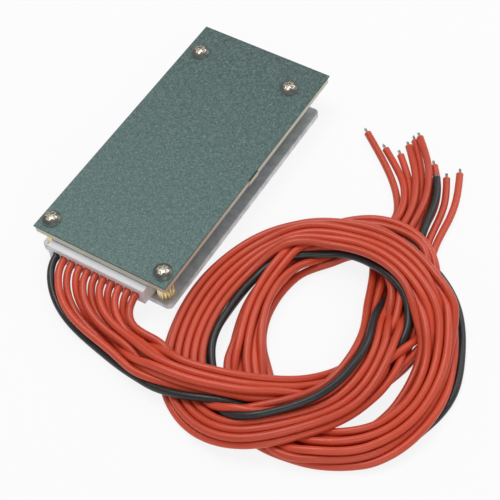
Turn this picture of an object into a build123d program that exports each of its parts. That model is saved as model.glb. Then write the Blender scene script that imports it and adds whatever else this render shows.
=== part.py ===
from build123d import *
import os
from math import pi, radians, tan

# Battery management board: a circuit board under a green insulation sheet, held by
# four knurled spacers over an aluminium heatsink plate, with a balance plug at the
# front and eleven loose leads. All lengths are in millimetres. +Z is up, the plate
# lies on the surface z = 0, and the plug faces -Y.

os.makedirs("parts", exist_ok=True)

# Board, sheet and plate
board_side_margin = 5.55
board_rear_margin = 0.7
board_thickness = 1.6
board_corner_radius = 1.0
tab_stub_length = 4.4
tab_stub_depth = 0.3
tab_stub_from_front = 42.6
sheet_thickness = 0.4
plate_thickness = 2.0
plate_front_setback = 1.0
plate_rear_setback = 5.5
plate_corner_radius = 1.5
plate_edge_break = 0.2

# Screws and spacers
screw_diameter = 3.0
screw_fit = 0.02
screw_hole_clearance = 0.1
front_hole_setback = 4.0
front_left_gap = 0.15
front_right_gap = 0.05
rear_hole_gap = 2.4
rear_left_inset = 4.35
rear_right_inset = 7.35
spacer_height = 7.0
spacer_diameter = 4.8
spacer_chamfer = 0.4
knurl_count = 16
knurl_depth = 0.3
screw_head_diameter = 5.1
screw_head_height = 1.7
screw_rim_height = 0.7
cover_screw_reach = 3.0
recess_span = 3.0
recess_width = 0.85
recess_depth = 1.1
recess_taper = 8
countersink_diameter = 5.6
countersink_clearance = 0.05
countersink_angle = 90
plate_screw_reach = 2.4

# Balance connector
pole_count = 11
pole_pitch = 2.5
connector_overwidth = 4.9
header_length = 9.0
header_setback = 0.2
header_drop = 6.2
header_side_wall = 0.8
header_back_wall = 2.0
header_top_wall = 1.0
header_floor_wall = 0.6
key_slot_width = 1.6
key_slot_length = 5.0
plug_overhang = 2.1
plug_collar_height = 5.4
plug_collar_round = 0.35
plug_nose_clearance = 0.7
plug_fit = 0.1
wire_hole = 2.1
wire_pocket_length = 3.6
contact_hole = 1.7
window_length = 2.0
window_width = 1.0
contact_size = 1.5
contact_length = 3.4
contact_bore = 0.9
barrel_length = 1.4
barrel_wall = 0.25
pin_size = 0.64
pin_inside_header = 4.4
pin_behind_header = 1.2
pin_bend_radius = 0.8
pin_board_clearance = 0.1
pin_top_recess = 0.3

# Power transistors and thermal pads
mosfets_per_row = 3
mosfet_pitch = 12.0
mosfet_width = 10.2
mosfet_body_length = 8.7
mosfet_height = 4.4
mosfet_edge_break = 0.5
monitor_to_row_gap = 0.5
row_gap = 3.3
tab_length = 1.8
tab_inset = 0.3
tab_thickness = 1.27
tab_notch = 1.2
leg_spread = 5.08
leg_width = 0.8
leg_thickness = 0.5
leg_reach = 4.2
leg_foot = 1.6
leg_rise = 1.9
thermal_pad_inset = 0.5

# Small parts under the board
shunt_count = 3
shunt_pitch = 5.0
shunt_length = 6.4
shunt_width = 3.2
shunt_thickness = 0.5
shunt_arch = 0.6
shunt_foot = 1.2
row_to_shunt_gap = 4.15
pad_count = 2
pad_pitch = 12.0
pad_width = 8.0
pad_length = 4.4
pad_height = 0.5
pad_round = 0.4
pad_corner_radius = 1.0
capacitor_to_pad_gap = 5.7
monitor_length = 10.2
monitor_width = 5.3
monitor_height = 1.8
monitor_edge_break = 0.25
transistor_to_monitor_gap = 0.35
monitor_side_offset = 9.0
monitor_leg_pitch = 0.65
monitor_legs_per_side = 14
monitor_leg_width = 0.25
monitor_leg_thickness = 0.16
monitor_leg_reach = 1.2
monitor_leg_foot = 0.6
monitor_leg_rise = 0.9
cell_count = 10
cell_pitch = 3.4
resistor_length = 3.2
resistor_width = 1.6
resistor_height = 0.55
end_cap_length = 0.45
end_cap_recess = 0.06
pin_to_resistor_gap = 1.88
transistor_length = 2.9
transistor_width = 1.3
transistor_height = 1.0
transistor_leg_reach = 0.55
transistor_leg_width = 0.4
transistor_leg_thickness = 0.15
transistor_leg_spread = 1.9
resistor_to_transistor_gap = 0.2
capacitor_length = 1.6
capacitor_width = 0.8
capacitor_height = 0.8
shunt_to_capacitor_gap = 1.4
capacitor_count = 4
clamp_length = 4.6
clamp_width = 3.6
clamp_height = 2.3
clamp_edge_break = 0.3
clamp_leg_reach = 0.5
clamp_leg_width = 2.2
clamp_leg_thickness = 0.2
clamp_side_offset = 8.5

# Wires
wire_diameter = 2.0
conductor_diameter = 0.76
bared_length = 2.0
arc_share = 0.45
coil_height = 9.4
coil_edge_round = 2.2

# Levels that follow from the sizes above
plate_top = plate_thickness
board_bottom = plate_top + spacer_height
board_top = board_bottom + board_thickness
sheet_top = board_top + sheet_thickness

# Rows under the board, as distances from its front edge, each set off from the one before
header_rear_from_front = header_setback + header_length
pin_row = header_rear_from_front + pin_behind_header
resistor_row = pin_row + pin_size / 2 + pin_to_resistor_gap + resistor_length / 2
transistor_reach = transistor_width / 2 + transistor_leg_reach
transistor_row = resistor_row + resistor_length / 2 + resistor_to_transistor_gap + transistor_reach
monitor_reach = monitor_width / 2 + monitor_leg_reach
monitor_row = transistor_row + transistor_reach + transistor_to_monitor_gap + monitor_reach
mosfet_front_reach = mosfet_body_length / 2 + leg_reach
mosfet_rear_reach = mosfet_body_length / 2 + tab_length
charge_row = monitor_row + monitor_reach + monitor_to_row_gap + mosfet_front_reach
discharge_row = charge_row + mosfet_rear_reach + row_gap + mosfet_front_reach
shunt_row = discharge_row + mosfet_rear_reach + row_to_shunt_gap + shunt_length / 2
capacitor_row = shunt_row + shunt_length / 2 + shunt_to_capacitor_gap + capacitor_length / 2
pad_row = capacitor_row + capacitor_length / 2 + capacitor_to_pad_gap + pad_length / 2
rear_hole_row = pad_row - pad_length / 2 - rear_hole_gap - spacer_diameter / 2

# Outline of the board, which is as wide as the connector and its two front screws need
connector_width = (pole_count - 1) * pole_pitch + connector_overwidth
board_width = connector_width + 2 * board_side_margin
board_length = pad_row + pad_length / 2 + board_rear_margin
overall_length = board_length + plug_overhang
front_edge = plug_overhang - overall_length / 2
left_edge = -board_width / 2
right_edge = board_width / 2
board_middle = front_edge + board_length / 2

screw_hole_radius = screw_diameter / 2 + screw_hole_clearance
screw_radius = screw_diameter / 2 - screw_fit
screw_offset = (connector_width + spacer_diameter) / 2
fixing_places = [
    (-screw_offset - front_left_gap, front_edge + front_hole_setback),
    (screw_offset + front_right_gap, front_edge + front_hole_setback),
    (left_edge + rear_left_inset, front_edge + rear_hole_row),
    (right_edge - rear_right_inset, front_edge + rear_hole_row),
]

header_front = front_edge + header_setback
header_rear = front_edge + header_rear_from_front
header_bottom = board_bottom - header_drop
cavity_bottom = header_bottom + header_floor_wall
cavity_top = board_bottom - header_top_wall
cavity_height = cavity_top - cavity_bottom
cavity_width = connector_width - 2 * header_side_wall
cavity_end = header_rear - header_back_wall
key_side = cavity_width / 2 - pole_pitch
pole_height = (cavity_bottom + cavity_top) / 2
nose_width = cavity_width - 2 * plug_fit
nose_height = cavity_height - 2 * plug_fit
plug_rear = front_edge - plug_overhang
collar_front = header_front - plug_fit
nose_end = cavity_end - plug_nose_clearance
wire_pocket_end = plug_rear + wire_pocket_length
pin_upright = front_edge + pin_row


def pole_places(y):
    """Places on the plane y at each of the connector's poles, as (x, y) pairs."""
    first = -(pole_count - 1) * pole_pitch / 2
    return [(first + pole * pole_pitch, y) for pole in range(pole_count)]


def save(builder, name):
    """Labels a finished piece and writes it under its node name."""
    builder.part.label = name
    export_step(builder.part, f"parts/{name}.step")


# Circuit board, with the stub of the tab that held it in its panel
with BuildPart() as circuit_board:
    with BuildSketch(Plane.XY.offset(board_bottom)):
        with Locations((0, board_middle)):
            RectangleRounded(board_width, board_length, board_corner_radius)
        with Locations((right_edge, front_edge + tab_stub_from_front)):
            Rectangle(2 * tab_stub_depth, tab_stub_length)
        with Locations(*fixing_places):
            Circle(screw_hole_radius, mode=Mode.SUBTRACT)
        with Locations(*pole_places(pin_upright)):
            Circle(pin_size / 2 * 2**0.5 + pin_board_clearance, mode=Mode.SUBTRACT)
    extrude(amount=board_thickness)
save(circuit_board, "circuit_board")

# Insulation sheet on the solder side
with BuildPart() as insulation_sheet:
    with BuildSketch(Plane.XY.offset(board_top)):
        with Locations((0, board_middle)):
            Rectangle(board_width, board_length)
        with Locations(*fixing_places):
            Circle(screw_hole_radius, mode=Mode.SUBTRACT)
    extrude(amount=sheet_thickness)
save(insulation_sheet, "insulation_sheet")

# Heatsink plate, countersunk from below
plate_length = board_length - plate_front_setback - plate_rear_setback
plate_middle = front_edge + plate_front_setback + plate_length / 2
with BuildPart() as heatsink_plate:
    with BuildSketch():
        with Locations((0, plate_middle)):
            RectangleRounded(board_width, plate_length, plate_corner_radius)
    extrude(amount=plate_thickness)
    chamfer(heatsink_plate.faces().sort_by(Axis.Z)[-1].edges(), plate_edge_break)
    chamfer(heatsink_plate.faces().sort_by(Axis.Z)[0].edges(), plate_edge_break)
    with Locations(*[Location((x, y, 0), (180, 0, 0)) for x, y in fixing_places]):
        CounterSinkHole(
            screw_hole_radius,
            countersink_diameter / 2,
            counter_sink_angle=countersink_angle,
        )
save(heatsink_plate, "heatsink_plate")

# Knurled spacers, tapped right through, with both ends chamfered
spacer_outer = spacer_diameter / 2 + knurl_depth
spacer_cut = spacer_chamfer + knurl_depth
with BuildPart() as one_spacer:
    with BuildSketch(Plane.XY.offset(plate_top)):
        Circle(spacer_diameter / 2)
        with PolarLocations(spacer_diameter / 2, knurl_count):
            RegularPolygon(knurl_depth, 4, mode=Mode.SUBTRACT)
        Circle(screw_diameter / 2, mode=Mode.SUBTRACT)
    extrude(amount=spacer_height)
    with BuildSketch(Plane.XZ):
        for level, inward in ((plate_top, 1), (board_bottom, -1)):
            with BuildLine():
                Polyline(
                    (spacer_outer - spacer_cut, level),
                    (spacer_outer, level),
                    (spacer_outer, level + inward * spacer_cut),
                    close=True,
                )
            make_face()
    revolve(axis=Axis.Z, mode=Mode.SUBTRACT)
with BuildPart() as spacers:
    with Locations(*fixing_places):
        add(one_spacer.part)
save(spacers, "spacers")

# Pan-head screws over the sheet, with a cross recess
head_radius = screw_head_diameter / 2
head_crown = sheet_top + screw_head_height
screw_end = board_bottom - cover_screw_reach
with BuildPart() as one_cover_screw:
    with BuildSketch(Plane.XZ):
        with BuildLine():
            Line((0, head_crown), (0, screw_end))
            Line((0, screw_end), (screw_radius, screw_end))
            Line((screw_radius, screw_end), (screw_radius, sheet_top))
            Line((screw_radius, sheet_top), (head_radius, sheet_top))
            rim = Line((head_radius, sheet_top), (head_radius, sheet_top + screw_rim_height))
            TangentArc((0, head_crown), rim @ 1, tangent=(1, 0))
        make_face()
    revolve(axis=Axis.Z)
    with BuildSketch(Plane.XY.offset(head_crown)):
        Rectangle(recess_span, recess_width)
        Rectangle(recess_width, recess_span)
    extrude(amount=-recess_depth, taper=recess_taper, mode=Mode.SUBTRACT)
with BuildPart() as cover_screws:
    with Locations(*fixing_places):
        add(one_cover_screw.part)
save(cover_screws, "cover_screws")

# Countersunk screws, flush with the plate's underside
sunk_radius = countersink_diameter / 2 - countersink_clearance
sunk_depth = sunk_radius - screw_radius
with BuildPart() as one_plate_screw:
    with BuildSketch(Plane.XZ):
        with BuildLine():
            Polyline(
                (0, 0),
                (sunk_radius, 0),
                (screw_radius, sunk_depth),
                (screw_radius, plate_top + plate_screw_reach),
                (0, plate_top + plate_screw_reach),
                close=True,
            )
        make_face()
    revolve(axis=Axis.Z)
    with BuildSketch():
        Rectangle(recess_span, recess_width)
        Rectangle(recess_width, recess_span)
    extrude(amount=recess_depth, taper=recess_taper, mode=Mode.SUBTRACT)
with BuildPart() as plate_screws:
    with Locations(*fixing_places):
        add(one_plate_screw.part)
save(plate_screws, "plate_screws")

# Shrouded header under the board, open at the front, keyed along its floor
with BuildPart() as balance_header:
    with BuildSketch(Plane.XZ.offset(-header_front)):
        with Locations((0, (header_bottom + board_bottom) / 2)):
            Rectangle(connector_width, header_drop)
    extrude(amount=-header_length)
    with BuildSketch(Plane.XZ.offset(-header_front)):
        with Locations((0, pole_height)):
            Rectangle(cavity_width, cavity_height)
    extrude(amount=header_front - cavity_end, mode=Mode.SUBTRACT)
    with BuildSketch(Plane.XZ.offset(-cavity_end)):
        with Locations(*pole_places(pole_height)):
            Rectangle(pin_size, pin_size)
    extrude(amount=-header_back_wall, mode=Mode.SUBTRACT)
    with BuildSketch(Plane.XY.offset(header_bottom)):
        for side in (-1, 1):
            with Locations((side * key_side, header_front + key_slot_length / 2)):
                Rectangle(key_slot_width, key_slot_length)
    extrude(amount=header_floor_wall, mode=Mode.SUBTRACT)
save(balance_header, "balance_header")

# Square pins, bent up from the header into the board
pin_reach = cavity_end - pin_inside_header
pin_top = board_top - pin_top_recess
with BuildPart() as one_pin:
    with BuildSketch(Plane.YZ.offset(-pin_size / 2)):
        with BuildLine():
            low = pole_height - pin_size / 2
            back = pin_upright + pin_size / 2
            FilletPolyline(
                (pin_reach, low),
                (back, low),
                (back, pin_top),
                radius=[pin_bend_radius + pin_size],
            )
            Line((back, pin_top), (back - pin_size, pin_top))
            FilletPolyline(
                (back - pin_size, pin_top),
                (back - pin_size, low + pin_size),
                (pin_reach, low + pin_size),
                radius=[pin_bend_radius],
            )
            Line((pin_reach, low + pin_size), (pin_reach, low))
        make_face()
    extrude(amount=pin_size)
with BuildPart() as header_pins:
    with Locations(*pole_places(0)):
        add(one_pin.part)
save(header_pins, "header_pins")

# Balance plug: a collar with a rounded back and a nose that fills the header
nose_length = nose_end - collar_front
collar_length = collar_front - plug_rear
with BuildPart() as balance_plug:
    with BuildSketch(Plane.XZ.offset(-plug_rear)):
        with Locations((0, pole_height)):
            Rectangle(connector_width, plug_collar_height)
    extrude(amount=-collar_length)
    fillet(balance_plug.edges().filter_by(Axis.X), plug_collar_round)
    with BuildSketch(Plane.XZ.offset(-collar_front)):
        with Locations((0, pole_height)):
            Rectangle(nose_width, nose_height)
    extrude(amount=-nose_length)
    with BuildSketch(Plane.XY.offset(pole_height - nose_height / 2)):
        for side in (-1, 1):
            with Locations((side * key_side, collar_front + (key_slot_length - plug_fit) / 2)):
                Rectangle(key_slot_width - 2 * plug_fit, key_slot_length - plug_fit)
    extrude(amount=-header_floor_wall)
    with BuildSketch(Plane.XZ.offset(-plug_rear)):
        with Locations(*pole_places(pole_height)):
            Rectangle(wire_hole, wire_hole)
    extrude(amount=-wire_pocket_length, mode=Mode.SUBTRACT)
    with BuildSketch(Plane.XZ.offset(-wire_pocket_end)):
        with Locations(*pole_places(pole_height)):
            Rectangle(contact_hole, contact_hole)
    extrude(amount=wire_pocket_end - nose_end, mode=Mode.SUBTRACT)
    with BuildSketch(Plane.XY.offset(pole_height)):
        with Locations(*pole_places(nose_end - window_length)):
            Rectangle(window_width, window_length)
    extrude(amount=nose_height / 2, mode=Mode.SUBTRACT)
save(balance_plug, "balance_plug")

# Crimp contacts: a box round the pin, and a barrel on the wire's end
contact_front = wire_pocket_end - wire_pocket_length / 2 + barrel_length
with BuildPart() as one_contact:
    with BuildSketch(Plane.XZ.offset(-contact_front)):
        with Locations((0, pole_height)):
            Rectangle(contact_size, contact_size)
            Rectangle(contact_bore, contact_bore, mode=Mode.SUBTRACT)
    extrude(amount=-contact_length)
    with BuildSketch(Plane.XZ.offset(-contact_front)):
        with Locations((0, pole_height)):
            Circle(contact_size / 2)
            Circle(contact_size / 2 - barrel_wall, mode=Mode.SUBTRACT)
    extrude(amount=barrel_length)
with BuildPart() as crimp_contacts:
    with Locations(*pole_places(0)):
        add(one_contact.part)
save(crimp_contacts, "crimp_contacts")

# Power transistors, face down on thermal pads, with their tabs and legs on the board
mosfet_bottom = board_bottom - mosfet_height
row_span = (mosfets_per_row - 1) * mosfet_pitch
row_steps = [place * mosfet_pitch - row_span / 2 for place in range(mosfets_per_row)]
body_front = -mosfet_body_length / 2
body_rear = mosfet_body_length / 2
tab_width = mosfet_width - 2 * tab_inset
with BuildPart() as one_tab:
    with BuildSketch(Plane.XY.offset(board_bottom - tab_thickness)):
        with Locations((0, body_rear + tab_length / 2)):
            Rectangle(tab_width, tab_length)
        with Locations((-tab_width / 2, body_rear), (tab_width / 2, body_rear)):
            Circle(tab_notch / 2, mode=Mode.SUBTRACT)
    extrude(amount=tab_thickness)
leg_top = board_bottom - leg_rise + leg_thickness / 2
leg_low = board_bottom - leg_rise - leg_thickness / 2
foot_end = body_front - leg_reach
foot_start = foot_end + leg_foot
with BuildPart() as one_leg:
    with BuildSketch(Plane.YZ.offset(-leg_width / 2)):
        with BuildLine():
            Polyline(
                (body_front, leg_top),
                (body_front, leg_low),
                (foot_start + leg_thickness, leg_low),
                (foot_start - leg_thickness, board_bottom - leg_thickness),
                (foot_end, board_bottom - leg_thickness),
                (foot_end, board_bottom),
                (foot_start, board_bottom),
                (foot_start + 2 * leg_thickness, leg_top),
                close=True,
            )
        make_face()
    extrude(amount=leg_width)

for row_name, row in (("charge", charge_row), ("discharge", discharge_row)):
    row_middle = front_edge + row
    row_places = [(step, row_middle) for step in row_steps]
    with BuildPart() as mosfets:
        with BuildSketch(Plane.XY.offset(mosfet_bottom)):
            with Locations(*row_places):
                Rectangle(mosfet_width, mosfet_body_length)
        extrude(amount=mosfet_height)
        chamfer(mosfets.faces().sort_by(Axis.Z)[:mosfets_per_row].edges(), mosfet_edge_break)
    save(mosfets, f"{row_name}_mosfets")

    with BuildPart() as leadframes:
        with Locations(*row_places):
            add(one_tab.part)
        for side in (-leg_spread / 2, leg_spread / 2):
            with Locations(*[(step + side, row_middle) for step in row_steps]):
                add(one_leg.part)
    save(leadframes, f"{row_name}_leadframes")

    with BuildPart() as thermal_pad:
        with BuildSketch(Plane.XY.offset(plate_top)):
            with Locations((0, row_middle)):
                Rectangle(
                    row_span + mosfet_width - 2 * thermal_pad_inset,
                    mosfet_body_length - 2 * thermal_pad_inset,
                )
        extrude(amount=mosfet_bottom - plate_top)
    save(thermal_pad, f"{row_name}_thermal_pad")

# Current shunts: arched metal strips between the power pads and the transistors
shunt_span = (shunt_count - 1) * shunt_pitch
shunt_end = shunt_length / 2
shunt_inner = shunt_end - shunt_foot
shunt_low = board_bottom - shunt_thickness
with BuildPart() as one_shunt:
    with BuildSketch(Plane.YZ.offset(-shunt_width / 2)):
        with BuildLine():
            Polyline(
                (-shunt_end, board_bottom),
                (-shunt_inner, board_bottom),
                (-shunt_inner + shunt_arch, board_bottom - shunt_arch),
                (shunt_inner - shunt_arch, board_bottom - shunt_arch),
                (shunt_inner, board_bottom),
                (shunt_end, board_bottom),
                (shunt_end, shunt_low),
                (shunt_inner, shunt_low),
                (shunt_inner - shunt_arch, shunt_low - shunt_arch),
                (-shunt_inner + shunt_arch, shunt_low - shunt_arch),
                (-shunt_inner, shunt_low),
                (-shunt_end, shunt_low),
                close=True,
            )
        make_face()
    extrude(amount=shunt_width)
with BuildPart() as current_shunts:
    with Locations((-shunt_span / 2, front_edge + shunt_row)):
        for place in range(shunt_count):
            with Locations((place * shunt_pitch, 0)):
                add(one_shunt.part)
save(current_shunts, "current_shunts")

# Tinned power pads at the rear edge, where the main cables are soldered
with BuildPart() as power_pads:
    with BuildSketch(Plane.XY.offset(board_bottom - pad_height)):
        with Locations((0, front_edge + pad_row)):
            with GridLocations(pad_pitch, 0, pad_count, 1):
                RectangleRounded(pad_width, pad_length, pad_corner_radius)
    extrude(amount=pad_height)
    fillet(power_pads.faces().sort_by(Axis.Z)[:pad_count].edges(), pad_round)
save(power_pads, "power_pads")

# Cell monitor circuit: a moulded body and two combs of legs
monitor_place = (-monitor_side_offset, front_edge + monitor_row)
monitor_bottom = board_bottom - monitor_height
with BuildPart() as monitor_body:
    with BuildSketch(Plane.XY.offset(monitor_bottom)):
        with Locations(monitor_place):
            Rectangle(monitor_length, monitor_width)
    extrude(amount=monitor_height)
    chamfer(monitor_body.faces().sort_by(Axis.Z)[0].edges(), monitor_edge_break)
save(monitor_body, "monitor_body")

monitor_side = monitor_width / 2
monitor_foot_end = monitor_side + monitor_leg_reach
monitor_foot_start = monitor_foot_end - monitor_leg_foot
monitor_leg_low = board_bottom - monitor_leg_rise
monitor_leg_high = monitor_leg_low + monitor_leg_thickness
with BuildPart() as one_monitor_leg:
    with BuildSketch(Plane.YZ.offset(-monitor_leg_width / 2)):
        with BuildLine():
            Polyline(
                (monitor_side, monitor_leg_low),
                (monitor_foot_start, monitor_leg_low),
                (monitor_foot_start + monitor_leg_thickness, board_bottom - monitor_leg_thickness),
                (monitor_foot_end, board_bottom - monitor_leg_thickness),
                (monitor_foot_end, board_bottom),
                (monitor_foot_start, board_bottom),
                (monitor_foot_start - monitor_leg_thickness, monitor_leg_high),
                (monitor_side, monitor_leg_high),
                close=True,
            )
        make_face()
    extrude(amount=monitor_leg_width)
with BuildPart() as monitor_legs:
    with Locations(monitor_place):
        with GridLocations(monitor_leg_pitch, 0, monitor_legs_per_side, 1):
            add(one_monitor_leg.part)
            add(one_monitor_leg.part, rotation=(0, 0, 180))
save(monitor_legs, "monitor_legs")

# One balance resistor and one balance transistor for each cell
def chip(length, width, height):
    """A chip part lying along Y under the board, a little thinner between its end caps."""
    end = length / 2
    inner = end - end_cap_length
    low = board_bottom - height
    with BuildPart() as body:
        with BuildSketch(Plane.YZ.offset(-width / 2)):
            with BuildLine():
                Polyline(
                    (-end, board_bottom),
                    (end, board_bottom),
                    (end, low),
                    (inner, low),
                    (inner, low + end_cap_recess),
                    (-inner, low + end_cap_recess),
                    (-inner, low),
                    (-end, low),
                    close=True,
                )
            make_face()
        extrude(amount=width)
    return body.part


one_resistor = chip(resistor_length, resistor_width, resistor_height)
with BuildPart() as balance_resistors:
    with Locations((0, front_edge + resistor_row)):
        with GridLocations(cell_pitch, 0, cell_count, 1):
            add(one_resistor)
save(balance_resistors, "balance_resistors")

with BuildPart() as one_transistor:
    with BuildSketch(Plane.XY.offset(board_bottom - transistor_height)):
        Rectangle(transistor_length, transistor_width)
    extrude(amount=transistor_height)
    with BuildSketch(Plane.XY.offset(board_bottom - transistor_leg_thickness)):
        leg_middle = (transistor_width + transistor_leg_reach) / 2
        with Locations(
            (0, leg_middle),
            (-transistor_leg_spread / 2, -leg_middle),
            (transistor_leg_spread / 2, -leg_middle),
        ):
            Rectangle(transistor_leg_width, transistor_leg_reach)
    extrude(amount=transistor_leg_thickness)
with BuildPart() as balance_transistors:
    with Locations((0, front_edge + transistor_row)):
        with GridLocations(cell_pitch, 0, cell_count, 1):
            add(one_transistor.part)
save(balance_transistors, "balance_transistors")

# Filter capacitors between the shunts and the power pads
one_capacitor = chip(capacitor_length, capacitor_width, capacitor_height)
with BuildPart() as filter_capacitors:
    with Locations((0, front_edge + capacitor_row)):
        with GridLocations(cell_pitch, 0, capacitor_count, 1):
            add(one_capacitor)
save(filter_capacitors, "filter_capacitors")

# Clamp diode beside the monitor circuit
clamp_place = (clamp_side_offset, front_edge + monitor_row)
with BuildPart() as clamp_diode:
    with BuildSketch(Plane.XY.offset(board_bottom - clamp_height)):
        with Locations(clamp_place):
            Rectangle(clamp_length, clamp_width)
    extrude(amount=clamp_height)
    chamfer(clamp_diode.faces().sort_by(Axis.Z)[0].edges(), clamp_edge_break)
    with BuildSketch(Plane.XY.offset(board_bottom - clamp_leg_thickness)):
        with Locations(clamp_place):
            Rectangle(clamp_length + 2 * clamp_leg_reach, clamp_leg_width)
    extrude(amount=clamp_leg_thickness)
save(clamp_diode, "clamp_diode")

# Wires, from the black one at the left. Their points are measured from the board's front
# left corner and from the surface.
corner = Vector(left_edge, front_edge, 0)
wire_start = contact_front - barrel_length


def wire_tube(name, places):
    """A plain wire of straight runs joined by tangent arcs; its length and radii are printed."""
    radii = []
    for before, here, after in zip(places, places[1:], places[2:]):
        turn = (here - before).get_angle(after - here)
        shorter = min((here - before).length, (after - here).length)
        radii.append(arc_share * shorter / tan(radians(turn / 2)))
    with BuildPart() as tube:
        with BuildLine():
            route = FilletPolyline(*places, radius=radii)
        with BuildSketch(Plane(origin=route @ 0, z_dir=route % 0)):
            Circle(wire_diameter / 2)
        sweep(path=route)
    filled = pi * (wire_diameter / 2) ** 2 * route.length
    print(
        name,
        "length",
        round(route.length, 1),
        "radii",
        [round(radius, 1) for radius in radii],
        "volume share",
        round(tube.part.volume / filled, 4),
    )
    save(tube, name)
    return Plane(origin=route @ 1, z_dir=route % 1)


# Leads: from each crimped end, out of the plug's back, to the flat left side of the coil
lead_routes = [
    [
        (8.0, -5.0, 5.7), (9.4, -9.8, 4.5), (13.8, -14.1, 2.4), (22.0, -17.9, 1.05),
        (35.6, -19.85, 1.05), (49.0, -19.85, 1.05),
    ],
    [
        (10.5, -5.0, 5.7), (11.9, -9.6, 5.0), (16.4, -13.4, 3.8), (24.0, -16.9, 3.1),
        (36.4, -19.15, 3.1), (49.0, -19.15, 3.1),
    ],
    [
        (13.0, -5.0, 5.7), (14.4, -9.7, 5.7), (19.0, -13.1, 5.4), (26.4, -16.2, 5.2),
        (37.8, -18.45, 5.15), (49.0, -18.45, 5.15),
    ],
    [
        (15.5, -5.0, 5.7), (17.0, -10.0, 4.1), (21.7, -13.7, 2.2), (29.4, -16.6, 1.05),
        (39.3, -17.65, 1.05), (49.0, -17.65, 1.05),
    ],
    [
        (18.0, -5.0, 5.7), (19.6, -9.8, 5.0), (24.3, -13.2, 3.9), (31.2, -15.9, 3.2),
        (40.1, -16.95, 3.1), (49.0, -16.95, 3.1),
    ],
    [
        (20.5, -5.0, 5.7), (22.1, -9.7, 5.8), (26.8, -12.9, 5.5), (33.4, -15.2, 5.2),
        (41.2, -16.25, 5.15), (49.0, -16.25, 5.15),
    ],
    [
        (23.0, -5.0, 5.7), (24.7, -10.0, 4.0), (29.5, -13.3, 2.1), (35.8, -15.0, 1.05),
        (42.5, -15.45, 1.05), (49.0, -15.45, 1.05),
    ],
    [
        (25.5, -5.0, 5.7), (27.2, -9.7, 5.0), (31.6, -12.8, 3.9), (37.4, -14.5, 3.2),
        (43.3, -14.8, 3.1), (49.0, -14.8, 3.1),
    ],
    [
        (28.0, -5.0, 5.7), (29.7, -9.5, 5.8), (34.2, -12.3, 5.5), (39.4, -13.9, 5.2),
        (44.2, -14.1, 5.15), (49.0, -14.1, 5.15),
    ],
    [
        (30.5, -5.0, 5.7), (32.3, -9.7, 4.0), (36.4, -12.1, 2.2), (40.8, -13.0, 1.1),
        (44.9, -13.15, 1.05), (49.0, -13.15, 1.05),
    ],
    [
        (33.0, -5.0, 5.7), (34.7, -9.4, 5.0), (38.7, -11.7, 3.9), (42.3, -12.5, 3.3),
        (45.7, -12.6, 3.1), (49.0, -12.6, 3.1),
    ],
]
for number, (pole, route_points) in enumerate(zip(pole_places(wire_start), lead_routes), start=1):
    start = Vector(pole[0], pole[1], pole_height)
    wire_tube(f"wire_lead_{number:02}", [start] + [corner + Vector(*point) for point in route_points])

# Tails: from the coil's flat far side to the cut ends
tail_routes = [
    [
        (78.0, 52.4, 1.05), (78.0, 55.9, 1.05), (75.6, 60.6, 1.05), (71.2, 66.0, 1.05),
        (64.0, 72.4, 1.05), (56.6, 78.2, 1.05),
    ],
    [
        (79.4, 52.4, 3.2), (79.4, 56.1, 3.2), (77.8, 61.0, 2.6), (74.2, 66.5, 1.8),
        (69.2, 71.2, 1.2), (63.8, 75.4, 1.05),
    ],
    [
        (80.8, 52.4, 1.05), (80.8, 56.3, 1.05), (79.2, 61.4, 1.05), (76.2, 66.9, 1.05),
        (72.4, 71.3, 1.05), (68.4, 75.4, 1.05),
    ],
    [
        (82.2, 52.4, 3.2), (82.2, 56.5, 3.2), (80.9, 61.7, 3.2), (77.8, 67.7, 2.8),
        (73.6, 73.7, 2.0), (68.9, 79.3, 1.2),
    ],
    [
        (83.6, 52.4, 1.05), (83.6, 56.6, 1.05), (82.3, 62.4, 1.05), (79.5, 68.7, 1.05),
        (74.9, 75.8, 1.05), (69.7, 82.0, 1.05),
    ],
    [
        (85.0, 52.4, 3.2), (85.0, 56.8, 3.2), (84.0, 62.9, 3.2), (81.4, 69.1, 3.2),
        (76.8, 76.5, 3.1), (71.2, 82.7, 2.6),
    ],
    [
        (86.2, 52.4, 1.05), (86.2, 56.9, 1.05), (85.3, 62.0, 1.05), (83.2, 67.2, 1.05),
        (80.5, 71.6, 1.05),
    ],
    [
        (88.5, 52.4, 1.05), (88.5, 57.0, 1.05), (87.7, 62.6, 1.05), (85.6, 68.2, 1.05),
        (82.6, 72.8, 1.05), (79.4, 76.6, 1.05),
    ],
    [
        (88.9, 52.4, 3.3), (88.9, 57.0, 3.3), (88.1, 62.4, 3.25), (86.0, 67.3, 3.2),
        (82.8, 71.4, 3.15),
    ],
    [
        (90.8, 52.4, 1.05), (90.8, 57.0, 1.05), (90.0, 62.7, 1.05), (87.8, 68.7, 1.05),
        (84.5, 74.0, 1.05),
    ],
    [
        (93.1, 52.4, 1.05), (93.1, 57.2, 1.05), (92.4, 63.4, 1.05), (90.0, 70.6, 1.05),
        (86.4, 77.2, 1.05),
    ],
]
tail_ends = []
for number, route_points in enumerate(tail_routes, start=1):
    places = [corner + Vector(*point) for point in route_points]
    tail_ends.append(wire_tube(f"wire_tail_{number:02}", places))

# Bared and tinned conductors at the cut ends
with BuildPart() as conductor_tips:
    for tail_end in tail_ends:
        with BuildSketch(tail_end):
            Circle(conductor_diameter / 2)
        extrude(amount=bared_length)
save(conductor_tips, "conductor_tips")

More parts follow.
